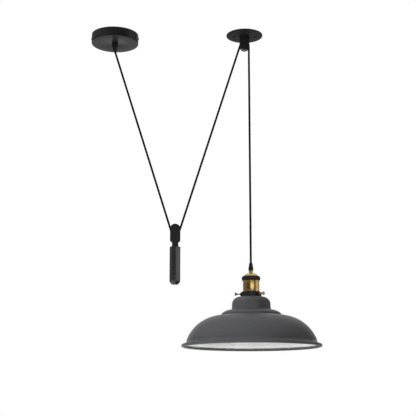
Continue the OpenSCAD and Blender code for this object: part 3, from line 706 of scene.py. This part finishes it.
class PENDANT_OT_cords(bpy.types.Operator):
    """Make the braided cord's three free runs, and its ends in the rose and in the lampholder"""

    bl_idname = "pendant.cords"
    bl_label = "Cords"

    def execute(self, context):
        sizes = context.scene.pendant_cord
        apart = HOOK - WEIGHT
        lean = math.atan2(apart.x, apart.z) - math.asin(2 * TURN_RADIUS / apart.length)
        slope = math.degrees(lean)
        mouth_z = foot("rose_grip")
        bend = in_plane(sizes.bend_radius, mouth_z + sizes.bend_inside)
        leaves = 180 + math.degrees(math.asin(sizes.bend_inside / sizes.bend_radius))

        in_rose = chain(
            straight(in_plane(0, top("cord_rose_tail")), in_plane(0, bend.z)),
            round_the(bend, 180, leaves, sizes.bend_radius),
        )
        curve = round_the(bend, leaves, 180 + slope, sizes.bend_radius)
        weight_wrap = round_the(WEIGHT, 180 + slope, 360 - slope)
        hook_wrap = round_the(HOOK, 180 - slope, 0)
        first = chain(curve, straight(curve[-1], weight_wrap[0]), weight_wrap)
        second = chain(straight(weight_wrap[-1], hook_wrap[0]), hook_wrap)
        grip_top = LAMP + UP * top("lamp_grip")
        third = straight(hook_wrap[-1], grip_top)
        in_holder = straight(grip_top, LAMP + UP * foot("cord_lamp_tail"))

        run = held_cord("cord_end_in_rose", in_rose, 0.0, "cord_rose_tail", "ceiling")
        run = free_cord(
            "cord_rose_to_weight", first, run, ["cord_rose_leg", "cord_weight_turn"],
        )
        run = free_cord(
            "cord_weight_to_hook", second, run, ["cord_hook_leg", "cord_hook_turn"],
        )
        run = free_cord(
            "cord_hook_to_lamp", third, run, ["cord_lamp_drop"],
        )
        held_cord("cord_end_in_holder", in_holder, run, "cord_lamp_tail", "lamp")
        return {"FINISHED"}


# ---- Ceiling rose ----


class PENDANT_OT_rose(bpy.types.Operator):
    """Model the ceiling rose: its cup, grip, screws, strap and terminals"""

    bl_idname = "pendant.rose"
    bl_label = "Ceiling rose"

    wall: size_of("Wall", "Sheet thickness of the cup", 0.0012)
    edge: size_of("Lower edge", "Radius of the cup's lower edge", 0.0014)
    groove: size_of("Groove", "Depth of the dark groove above that edge", 0.0009)
    groove_height: size_of("Groove height", "Height of that groove", 0.0016)
    cord_hole: size_of("Cord hole", "Radius of the hole for the cord grip", 0.0051)

    def cup(self, radius, base):
        edge, lip, slope = self.edge, base + self.edge, 0.0001
        low = lip + slope
        high = low + self.groove_height
        section = [
            (radius - self.wall, 0), (radius, 0), (radius, high + 2 * slope), (radius - self.groove, high),
            (radius - self.groove, low), (radius, lip),
        ]
        section += arc((radius - edge, lip), edge, edge, 0, -90, 8)
        section += [
            (self.cord_hole, base), (self.cord_hole, base + self.wall),
            (radius - self.wall, base + self.wall),
        ]
        lathed(section, "rose_cup", "ceiling", "satin_black", Vector(), 0.0002, 160, corner_steps=2)

    def grip(self, base):
        low, high = ends("rose_grip")
        wide, waist, mouth, bore = reach("rose_grip"), 0.0004, 0.0045, CORD_RADIUS + GAP
        stem, length = self.cord_hole - 0.0002, base - low
        section = [
            (bore, high), (stem, high), (stem, base), (wide, base), (wide, base - length * 0.20),
            (wide - waist, base - length * 0.23), (wide - waist, base - length * 0.29),
            (wide - waist / 2, base - length * 0.32), (mouth + 0.0002, low + 0.0012),
            (mouth - 0.0005, low), (bore + 0.0007, low), (bore + 0.0006, low + 0.004), (bore, low + 0.006),
        ]
        lathed(section, "rose_grip", "ceiling", "black_grip", Vector(), 0.0006, 72)

    def side_screw(self, out, radius, name):
        """One slotted screw that holds the cup to its strap."""
        low, high = ends("rose_side_screws")
        place, head = UP * (low + high) / 2, (high - low) / 2
        shank, tip, edge, dome = 0.0020, radius - 0.0055, radius + 0.0003, 0.0011
        slot_depth, slot_width = 0.0006, 0.0010
        line = rounded([(0, tip), (shank, tip), (shank, radius), (head, radius)], 0.0002, closed=False)
        line += arc((0, edge), head, dome, 0, 90, 6)
        screw = turned(line, place, out, 48)
        begin()
        bpy.ops.mesh.primitive_cube_add(size=1, location=out * (edge + dome) + place)
        slot = bpy.context.object
        slot.scale = (2 * slot_depth, slot_width, 4 * head)
        carve(screw, slot)
        placed(screw, "rose_side_screws", "ceiling", "satin_black", name="rose_screw_" + name)

    def execute(self, context):
        radius, base = reach("rose_cup"), foot("rose_cup")
        self.cup(radius, base)
        self.grip(base)
        for side, name in ((-1, "left"), (1, "right")):
            self.side_screw(Vector((side, 0, 0)), radius, name)
        dress(["rose_strap", "rose_grip_nut"], "ceiling", "steel", 0.0002)
        dress(["terminal_block"], "ceiling", "white_block", 0.0003)
        dress(["terminal_screws"], "ceiling", "brass", 0.0001)
        finish_node("rose_wires", "wire_sheath")
        return {"FINISHED"}


# ---- Pulleys ----


def wheel_profile(half, radius):
    """Closed section of a grooved wheel, as (distance from the axle, distance along it)."""
    bore, recess, slack = reach("hook_wheel_bush"), 0.0004, 0.00035
    groove, side = CORD_RADIUS + slack, half - recess
    hub, flange = bore + 0.0012, radius - 0.0019
    before = [(bore, -half), (hub, -half), (hub + recess, -side), (flange - 0.0005, -side), (flange, -half)]
    before += [(radius, -half), (radius, -groove)]
    behind = [(x, -y) for x, y in reversed(before)]
    return rounded(before + arc((TURN_RADIUS, 0), groove, groove, 270, 90, 18) + behind, 0.0002, steps=2)


def pulley(place, name, body):
    """One pulley: its yoke, axle and nut ride on the body, its wheel and bush on the wheel's own."""
    wheel = name + "_wheel"
    low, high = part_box(wheel)
    piece = turned(wheel_profile((high.y - low.y) / 2, reach(wheel)), place, AWAY, 96)
    placed(piece, wheel, wheel, "steel")
    dress([wheel + "_bush"], wheel, "brass", 0.00015)
    dress([name + "_yoke"], body, "satin_black", 0.0007)
    dress([name + "_axle", name + "_axle_nut"], body, "steel", 0.0003, "blackened")


def countersunk(hole, head, start, neck, end):
    """Section of a drill for a countersunk hole: straight from start to neck, then wider until end."""
    return [(0, start), (hole, start), (hole, neck), (head, end), (0, end)]


class PENDANT_OT_ceiling_pulley(bpy.types.Operator):
    """Model the ceiling pulley and the round plate that holds it"""

    bl_idname = "pendant.ceiling_pulley"
    bl_label = "Ceiling pulley"

    hole_span: size_of("Hole span", "Distance between the plate's screw holes", 0.054)
    hole: size_of("Hole", "Radius of the plate's screw holes", 0.0023)
    rim: size_of("Rim", "Height of the plate's upright rim", 0.0016)
    flat: size_of("Flat", "Radius of the flat in the middle of its face", 0.016)

    def execute(self, context):
        low, high = ends("hook_plate")
        radius, thick, past = reach("hook_plate"), high - low, 0.001
        centre = in_plane(HOOK.x, high)
        face = arc((self.flat, -self.rim), radius - self.flat, thick - self.rim, 0, -90, 14)
        plate = turned([(0, 0), (radius, 0)] + face + [(0, -thick)], centre, steps=144)
        head, neck, through = self.hole + 0.0036, -0.0022, -thick - past
        for aside in (-self.hole_span / 2, self.hole_span / 2):
            sink = countersunk(self.hole, head, past, neck, through)
            carve(plate, turned(sink, centre + in_plane(aside, 0), steps=40))
        # The yoke's own screw comes from above, so its hole is wide on top.
        screw, screw_head, screw_neck, above = 0.0026, 0.0056, -0.0023, 0.0007
        sink = countersunk(screw, screw_head, through, screw_neck, above)
        carve(plate, turned(sink, centre, steps=40))
        soften(plate, 0.00025)
        plate.data.materials.append(finish("matt_black"))
        placed(plate, "hook_plate", "ceiling", "satin_black")
        dress(["hook_yoke_screw"], "ceiling", "steel", 0.00015)
        pulley(HOOK, "hook", "ceiling")
        return {"FINISHED"}


class PENDANT_OT_counterweight(bpy.types.Operator):
    """Model the counterweight: its pulley, neck, nut and eight sided bar"""

    bl_idname = "pendant.counterweight"
    bl_label = "Counterweight"

    nose: size_of("Nose", "Radius of the bar's turned lower end", 0.0136)
    nose_flat: size_of("Nose flat", "Radius of the flat in the middle of that end", 0.006)
    waist: size_of("Waist", "How far the neck is drawn in", 0.0008)
    stud: size_of("Stud", "Radius of the neck's stud", 0.0025)

    def neck(self):
        low, high = ends("counterweight_neck")
        wide, shoulder = reach("counterweight_neck"), 0.0015
        upper, lower = foot("counterweight_yoke"), top("counterweight_bar")
        span = upper - lower

        def stud(*points):
            return rounded(points, 0.0003, closed=False)

        line = stud((0, high), (self.stud, high), (self.stud, upper), (wide, upper))
        line += arc((wide, upper - span / 2), self.waist, span / 2 - shoulder, 90, 270, 12)
        line += stud((wide, lower), (self.stud, lower), (self.stud, low), (0, low))
        neck = turned(line, in_plane(WEIGHT.x, 0), steps=64)
        placed(neck, "counterweight_neck", "counterweight", "satin_black")

    def bar(self):
        low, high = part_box("counterweight_bar")
        flats, length, past = (high.y - low.y) / 2, high.z - low.z, 0.01
        begin()
        bpy.ops.mesh.primitive_cylinder_add(
            vertices=8, radius=flats / math.cos(math.pi / 8), depth=length,
            location=in_plane(WEIGHT.x, (low.z + high.z) / 2), rotation=(0, 0, math.pi / 8),
        )
        bar = bpy.context.object
        soften(bar, 0.0006, 3)
        rise = math.sqrt(self.nose**2 - self.nose_flat**2)
        end = math.degrees(math.atan2(rise, self.nose_flat))
        mould = [(0, 0)] + arc((0, rise), self.nose, self.nose, -end, 0, 14)
        mould += [(self.nose, length + past), (0, length + past)]
        carve(bar, turned(mould, in_plane(WEIGHT.x, low.z), steps=96), "INTERSECT")
        bore, depth, above = self.stud + GAP, 0.015, 0.002
        drill = [(0, -depth), (bore, -depth), (bore, above), (0, above)]
        carve(bar, turned(drill, in_plane(WEIGHT.x, high.z), steps=32))
        # Low enough that the facets stay flat to their ends.
        placed(bar, "counterweight_bar", "counterweight", "dark_weight", crease=10)

    def execute(self, context):
        pulley(WEIGHT, "counterweight", "counterweight")
        self.neck()
        dress(["counterweight_neck_nut"], "counterweight", "steel", 0.0003)
        self.bar()
        return {"FINISHED"}


# ---- Lampholder ----


class PENDANT_OT_lampholder(bpy.types.Operator):
    """Model the lampholder: its grip, nipple, dome, knurled ring, shell and screw socket"""

    bl_idname = "pendant.lampholder"
    bl_label = "Lampholder"

    sheet: size_of("Sheet", "Thickness of the brass", 0.001)
    shoulder: size_of("Shoulder", "Radius of the dome's round", 0.0156)
    teeth: IntProperty(name="Teeth", description="Teeth round the knurled ring", default=30, min=8)
    tooth_depth: share_of("Tooth depth", "Depth of the grooves as a share of the ring's radius", 0.03)
    thread_pitch: size_of("Thread pitch", "Rise of the screw socket's rolled thread", 0.0036)

    def grip(self):
        low, high = ends("lamp_grip")
        seat, wide = top("lamp_nipple"), reach("lamp_grip")
        length = high - seat
        bore, tail = CORD_RADIUS + GAP, CORD_RADIUS + 0.001
        section = [
            (bore, high), (0.0035, high), (0.0041, high - 0.0007), (0.0046, high - length * 0.35),
            (0.0052, high - length * 0.52), (wide - 0.0003, high - length * 0.60),
            (wide, high - length * 0.72), (0.0056, seat + 0.0022), (0.0054, seat), (tail, seat),
            (tail, low), (bore, low),
        ]
        lathed(section, "lamp_grip", "lamp", "black_grip", LAMP, 0.0008, 64)

    def nipple(self):
        low, high = ends("lamp_nipple")
        cap, wide = top("lamp_cap"), reach("lamp_nipple")
        bore, stem, waist = CORD_RADIUS + 0.0011, 0.0046, wide - 0.0005
        section = [
            (bore, high), (wide - 0.0004, high), (wide, high - 0.0008), (wide, high - 0.0020),
            (waist, high - 0.0025), (waist, cap + 0.0010), (wide, cap + 0.0006), (wide, cap),
            (stem, cap), (stem, low), (bore, low),
        ]
        lathed(section, "lamp_nipple", "lamp", "brass", LAMP, 0.0004, 64)

    def dome(self):
        """Centre of the dome's round, as (distance from the axis, height)."""
        flat = reach("lamp_nipple") + GAP
        x = reach("lamp_cap") - self.shoulder
        return x, top("lamp_cap") - math.sqrt(self.shoulder**2 - (flat - x) ** 2)

    def cap(self):
        low, high = ends("lamp_cap")
        centre, radius = self.dome(), reach("lamp_cap")
        bore, inner = 0.0047, self.shoulder - self.sheet
        start = math.degrees(math.asin((high - centre[1]) / self.shoulder))
        section = [(bore, high)] + arc(centre, self.shoulder, self.shoulder, start, 0, 24)
        section += [(radius, low), (radius - self.sheet, low)]
        section += arc(centre, inner, inner, 0, start, 24) + [(bore, high - self.sheet)]
        lathed(section, "lamp_cap", "lamp", "brass", LAMP, 0.0003, 128, corner_steps=2)

    def ring(self):
        low, high = ends("knurled_ring")
        centre, radius, step = self.dome(), reach("knurled_ring"), foot("lamp_cap")
        hug, shell, rows_a_tooth = self.shoulder + GAP, reach("holder_shell") + GAP, 8
        rise = math.degrees(math.asin((high - centre[1]) / hug))
        section = arc(centre, hug, hug, 0, rise, 5)
        section += [
            (radius - 0.0017, high), (radius - 0.0002, high - 0.0022), (radius, high - 0.0028),
            (radius, low + 0.0022), (radius - 0.0003, low + 0.0016), (radius - 0.0014, low),
            (shell, low), (shell, step), (reach("lamp_cap") + GAP, step),
        ]
        ring = turned(rounded(section, 0.0002, steps=2), LAMP, steps=self.teeth * rows_a_tooth)
        # Every eighth row of the band's vertices is drawn in all the way, and its neighbours in part.
        band, row_angle = radius - 0.0019, FULL_TURN / (self.teeth * rows_a_tooth)
        for rows, share in (((0,), 1.0), ((1, 7), 0.72), ((2, 6), 0.25)):
            choose(ring)
            edit("DESELECT")
            leave()
            for vertex in ring.data.vertices:
                place = ring.matrix_world @ vertex.co - LAMP
                row = round(math.atan2(place.y, place.x) / row_angle) % rows_a_tooth
                vertex.select = math.hypot(place.x, place.y) > band and row in rows
            bpy.ops.object.mode_set(mode="EDIT")
            shrink = 1 - self.tooth_depth * share
            bpy.ops.transform.resize(value=(shrink, shrink, 1), center_override=LAMP)
            leave()
        placed(ring, "knurled_ring", "lamp", "satin_black")

    def shell(self):
        low, high = ends("holder_shell")
        radius, bead, bead_height = reach("holder_shell"), 0.0003, 0.0007
        inner = radius - self.sheet
        lip = inner - 0.0016
        section = [(inner, high), (radius, high)]
        for z in (foot("knurled_ring") - 0.0022, top("shade_gallery") + 0.0024):
            section += arc((radius, z), bead, bead_height, 90, -90, 6)
        section += [(radius, low), (lip, low), (lip, low + self.sheet), (inner, low + self.sheet)]
        lathed(section, "holder_shell", "lamp", "brass", LAMP, 0.0003, 144, corner_steps=2)

    def socket(self):
        low, high = ends("socket_shell")
        sheet, rise, points_a_turn = 0.0004, 0.00045, 10
        inner = reach("socket_shell") - sheet
        steps = round((high - low) / self.thread_pitch * points_a_turn)
        wave = []
        for i in range(steps + 1):
            up = (high - low) * i / steps
            turn = FULL_TURN * up / self.thread_pitch
            wave.append((inner - rise * (0.5 - 0.5 * math.cos(turn)), low + up))
        section = wave + [(x + sheet, z) for x, z in reversed(wave)] + wave[:1]
        placed(turned(section, LAMP, steps=96), "socket_shell", "lamp", "brass")

    def execute(self, context):
        self.grip()
        self.nipple()
        self.cap()
        self.ring()
        self.shell()
        self.socket()
        dress(["lamp_nipple_nut", "socket_screws", "socket_contact"], "lamp", "brass", 0.00015)
        dress(["socket_insert"], "lamp", "white_block", 0.0005)
        finish_node("lamp_wires", "wire_sheath")
        return {"FINISHED"}


class PENDANT_OT_gallery(bpy.types.Operator):
    """Model the gallery that holds the shade, its lock ring and its three thumb screws"""

    bl_idname = "pendant.gallery"
    bl_label = "Gallery and thumb screws"

    sheet: size_of("Sheet", "Thickness of the gallery's wall", 0.001)
    radius: size_of("Radius", "Radius of the gallery's wall", 0.024)
    bore: size_of("Bore", "Radius of the bores for the thumb screws", 0.00155)
    boss: size_of("Boss", "Radius of the bosses round the thumb screws", 0.0033)
    boss_height: size_of("Boss height", "Height of the bosses above the wall", 0.0024)
    thread_pitch: size_of("Thread pitch", "Pitch of the thumb screws' thread", 0.0005)

    def directions(self):
        """The directions in which the three thumb screws turn out, from their slides' axes."""
        slides = [j for j in frame["joints"] if j["child"].startswith("thumb_screw")]
        return [(j["child"], Vector(j["axis"]).normalized()) for j in slides]

    def gallery(self):
        low, high = ends("shade_gallery")
        height = middle("thumb_screw_1").z
        radius, inner, hug = self.radius, self.radius - self.sheet, reach("holder_shell") + GAP
        ceiling, bead = high - 0.0015, radius + 0.0003
        section = [
            (hug, high), (radius - 0.0016, high), (radius, high - 0.0014), (radius, low + 0.0014),
            (bead, low + 0.0010), (bead, low + 0.0003), (radius, low), (inner, low), (inner, ceiling),
            (hug, ceiling),
        ]
        gallery = turned(rounded(section, 0.0004), LAMP, steps=128)
        root, end = radius - 0.0007, radius + self.boss_height
        stub = rounded([(0, root), (self.boss, root), (self.boss, end), (0, end)], 0.0004, closed=False)
        for _, out in self.directions():
            carve(gallery, turned(stub, LAMP + UP * height, out, 40), "UNION")
        inside, outside = radius - 0.004, radius + 0.006
        bore = [(0, inside), (self.bore, inside), (self.bore, outside), (0, outside)]
        for _, out in self.directions():
            carve(gallery, turned(bore, LAMP + UP * height, out, 32))
        placed(gallery, "shade_gallery", "lamp", "satin_black")

    def thumb_screw(self, body, out):
        low, high = ends(body)
        head, shank, pitch = (high - low) / 2, self.bore - GAP / 2, self.thread_pitch
        along = [(v.co - LAMP).dot(out) for v in frame["nodes"][body].data.vertices]
        tip, end = min(along), max(along)
        flare = end - 0.005
        line = [(0, tip), (shank - 0.0004, tip)]
        for i in range(round((flare - tip - 0.003) / pitch)):
            root = tip + 0.0005 + i * pitch
            line += [(shank - 0.00022, root), (shank, root + pitch / 2)]
        line += [
            (shank, flare - 0.0008), (shank + 0.0004, flare), (shank + 0.0010, flare + 0.0015),
            (head * 0.72, flare + 0.0027), (head - 0.0002, flare + 0.0038), (head, flare + 0.0043),
            (head - 0.0002, end - 0.0001), (head - 0.0006, end), (head * 0.68, end - 0.0004),
            (head * 0.40, end - 0.0012), (0, end - 0.0015),
        ]
        screw = turned(line, LAMP + UP * (low + high) / 2, out, 40)
        placed(screw, body, body, "thumb_brass")

    def execute(self, context):
        self.gallery()
        dress(["gallery_lock_ring"], "lamp", "satin_black", 0.0003)
        for body, out in self.directions():
            self.thumb_screw(body, out)
        return {"FINISHED"}


# ---- Shade ----


class PENDANT_OT_shade(bpy.types.Operator):
    """Model the three tiered shade with its rolled rim, grey outside and white inside"""

    bl_idname = "pendant.shade"
    bl_label = "Shade"

    neck: size_of("Neck", "Outer radius of the neck inside the gallery", 0.0224)

    def outline(self, sizes):
        """The shade's outer line, from its neck down to the end of its rolled bead."""
        crown_z = foot("shade_gallery")
        shoulder_z = crown_z - sizes.crown_height
        shoulder_x = sizes.crown_radius + sizes.crown_flare
        bowl_z = shoulder_z - sizes.shoulder_height - sizes.shoulder_step
        bowl_x = shoulder_x + sizes.shoulder_width
        rim_z, rim_x = bowl_z - sizes.bowl_height, bowl_x + sizes.bowl_width
        bead_x = reach("shade") - sizes.bead_radius
        bead_z = foot("shade") + sizes.bead_radius
        shoulder_turn, bowl_turn = 20, 22

        def tier(x, z, width, height, turn, steps):
            """A quarter of an ellipse that stops short of upright, from its third point on."""
            tall = height / (1 - math.sin(math.radians(turn)))
            wide = width / math.cos(math.radians(turn))
            return arc((x, z - tall), wide, tall, 90, turn, steps)[2:]

        edge = sizes.crown_edge
        line = rounded([(self.neck, top("shade")), (self.neck, crown_z), (0.0262, crown_z)], 0.0006, False)
        line += arc((sizes.crown_radius - edge, crown_z - edge), edge, edge, 88, 0, 18)
        line += rounded([
            (sizes.crown_radius + 0.0003, crown_z - edge * 1.3), (shoulder_x, shoulder_z + 0.0002),
            (shoulder_x + 0.0012, shoulder_z - 0.0001),
        ], 0.0012, False)
        line += tier(
            shoulder_x, shoulder_z, sizes.shoulder_width, sizes.shoulder_height, shoulder_turn, 18
        )
        line += rounded([
            (bowl_x + 0.0001, bowl_z + sizes.shoulder_step * 0.8), (bowl_x + 0.0001, bowl_z),
            (bowl_x + 0.0022, bowl_z - 0.0001),
        ], 0.0009, False)
        line += tier(bowl_x, bowl_z, sizes.bowl_width, sizes.bowl_height, bowl_turn, 40)
        line += arc((bead_x, rim_z), bead_x - rim_x, rim_z - bead_z - sizes.bead_radius, 186, 266, 14)
        line += arc((bead_x, bead_z), sizes.bead_radius, sizes.bead_radius, 90, -190, 30)
        return line

    def execute(self, context):
        sizes = context.scene.pendant_shade
        shade = turned(self.outline(sizes), LAMP, steps=192)
        shade.data.materials.append(finish("grey_shade"))
        shade.data.materials.append(finish("white_inside"))
        # The wall's thickness goes inwards, and its inner side takes the white enamel.
        apply_modifier(
            shade, "SOLIDIFY", thickness=sizes.wall, offset=-1, use_even_offset=True,
            material_offset=1, material_offset_rim=0,
        )
        placed(shade, "shade", "lamp", "grey_shade")
        return {"FINISHED"}


# ---- Stage ----


class PENDANT_OT_camera(bpy.types.Operator):
    """Set the camera as the photograph was taken, from below and far away"""

    bl_idname = "pendant.camera"
    bl_label = "Camera"

    def execute(self, context):
        sizes = context.scene.pendant_stage
        begin()
        bpy.ops.object.camera_add(
            location=sizes.camera_place, rotation=(math.pi / 2 + sizes.tilt, 0, 0)
        )
        camera = context.object
        camera.name = "photo_camera"
        full_frame, beyond_the_stage = 36, 50
        camera.data.lens = sizes.lens
        camera.data.sensor_width = full_frame
        camera.data.clip_end = beyond_the_stage
        context.scene.camera = camera
        return {"FINISHED"}


class PENDANT_OT_stage(bpy.types.Operator):
    """Set a pale floor, a white background and plain soft studio light"""

    bl_idname = "pendant.stage"
    bl_label = "Stage"

    def floor(self, sizes):
        begin()
        bpy.ops.mesh.primitive_circle_add(
            vertices=96, radius=sizes.floor_radius, fill_type="NGON",
            location=(LAMP.x / 2, 0, -sizes.floor_drop),
        )
        floor = bpy.context.object
        floor.name = "pale_floor"
        made = Finish("pale_floor", Base_Color=(0.74, 0.74, 0.74, 1), Roughness=0.9, Emission_Strength=1.0)
        camera, glossy, through = rays(made)
        seen = camera + (glossy + through) * 0.1
        made.paint("Emission Color", made.mix(seen, (0, 0, 0), (sizes.floor_glow,) * 3))
        floor.data.materials.append(made.material)

    def light(self, name, place, target, width, height, watts, mirrored=False):
        """A soft box, which polished pieces mirror only where that is asked."""
        begin()
        bpy.ops.object.light_add(type="AREA", location=place)
        lamp = bpy.context.object
        lamp.name = name
        lamp.data.shape = "RECTANGLE"
        lamp.data.size, lamp.data.size_y, lamp.data.energy = width, height, watts
        lamp.rotation_euler = (Vector(target) - Vector(place)).to_track_quat("-Z", "Y").to_euler()
        lamp.visible_camera = False
        lamp.visible_glossy = mirrored

    def surroundings(self, sizes):
        """White to the camera, pale behind, above and on the right to the gloss, and soft fill."""
        world = bpy.context.scene.world or bpy.data.worlds.new("studio")
        bpy.context.scene.world = world
        world.use_nodes = True
        world.node_tree.nodes.clear()
        made = Nodes(world.node_tree)
        point = made.node("ShaderNodeTexCoord").outputs["Generated"]

        def facing(direction, low, high):
            """1 where the ray points along a direction, and 0 away from it."""
            dot = made.node("ShaderNodeVectorMath", {"operation": "DOT_PRODUCT"})
            made.feed(dot.inputs[0], point)
            made.feed(dot.inputs[1], Vector(direction).normalized())
            return made.value(dot, "Value").ramp(low, high)

        behind = facing((0.0, 1.0, 0.0), 0.70, 0.97)
        above = facing((0.0, 0.1, 1.0), 0.45, 0.90) * 0.75
        right = facing((1.0, 0.02, 0.12), 0.82, 0.97) * 0.70
        left = facing((-1.0, 0.30, 0.0), 0.60, 0.95) * 0.14
        elsewhere = 0.08
        camera, glossy, through = rays(made)
        seen = (camera + glossy * (behind + above + right + left + elsewhere).capped() + through).capped()
        fill = (1 - (camera + glossy + through).capped()) * sizes.fill
        back = made.node("ShaderNodeBackground", Color=(1, 1, 1, 1), Strength=seen + fill)
        made.node("ShaderNodeOutputWorld", Surface=back.outputs[0])

    def execute(self, context):
        sizes = context.scene.pendant_stage
        context.scene.view_settings.view_transform = "Standard"
        self.floor(sizes)
        self.surroundings(sizes)
        aim = Vector((LAMP.x / 2 + 0.05, 0, -0.5))
        self.light("key", (-1.85, -1.45, 0.15), aim, 1.1, 1.5, sizes.key)
        self.light("back", (1.3, 1.9, 0.35), aim, 1.3, 1.3, sizes.key * 0.8)
        low = Vector((LAMP.x / 2, 0, -sizes.floor_drop + 0.05))
        self.light("lift", low, low + UP, 1.3, 1.3, sizes.lift)
        shell = LAMP + UP * (top("holder_shell") + foot("holder_shell")) / 2
        self.light(
            "card", shell + Vector((0.16, -0.68, 0.10)), shell, 0.60, 0.24, sizes.card, mirrored=True
        )
        return {"FINISHED"}


# ---- Add-on ----


class PENDANT_PT_panel(bpy.types.Panel):
    """Lists the pendant's pieces in the order in which they are made"""

    bl_idname = "PENDANT_PT_panel"
    bl_label = "Pendant"
    bl_space_type = "VIEW_3D"
    bl_region_type = "UI"
    bl_category = "Pendant"

    def draw(self, context):
        for operator in OPERATORS:
            self.layout.operator(operator.bl_idname)
        for name in GROUPS:
            box = self.layout.box()
            box.label(text=name.replace("pendant_", "").title())
            group = getattr(context.scene, name)
            for key in group.__annotations__:
                box.prop(group, key)


OPERATORS = (
    PENDANT_OT_camera,
    PENDANT_OT_cords,
    PENDANT_OT_rose,
    PENDANT_OT_ceiling_pulley,
    PENDANT_OT_counterweight,
    PENDANT_OT_lampholder,
    PENDANT_OT_gallery,
    PENDANT_OT_shade,
    PENDANT_OT_stage,
)
GROUPS = {
    "pendant_cord": PENDANT_PG_cord,
    "pendant_shade": PENDANT_PG_shade,
    "pendant_finish": PENDANT_PG_finish,
    "pendant_stage": PENDANT_PG_stage,
}


def register():
    for kind in (*GROUPS.values(), *OPERATORS, PENDANT_PT_panel):
        bpy.utils.register_class(kind)
    for name, group in GROUPS.items():
        setattr(bpy.types.Scene, name, PointerProperty(type=group))


def unregister():
    for name in GROUPS:
        delattr(bpy.types.Scene, name)
    for kind in reversed((*GROUPS.values(), *OPERATORS, PENDANT_PT_panel)):
        bpy.utils.unregister_class(kind)


def main():
    register()
    for operator in OPERATORS:
        group, name = operator.bl_idname.split(".")
        getattr(getattr(bpy.ops, group), name)()


if __name__ == "__main__":
    main()
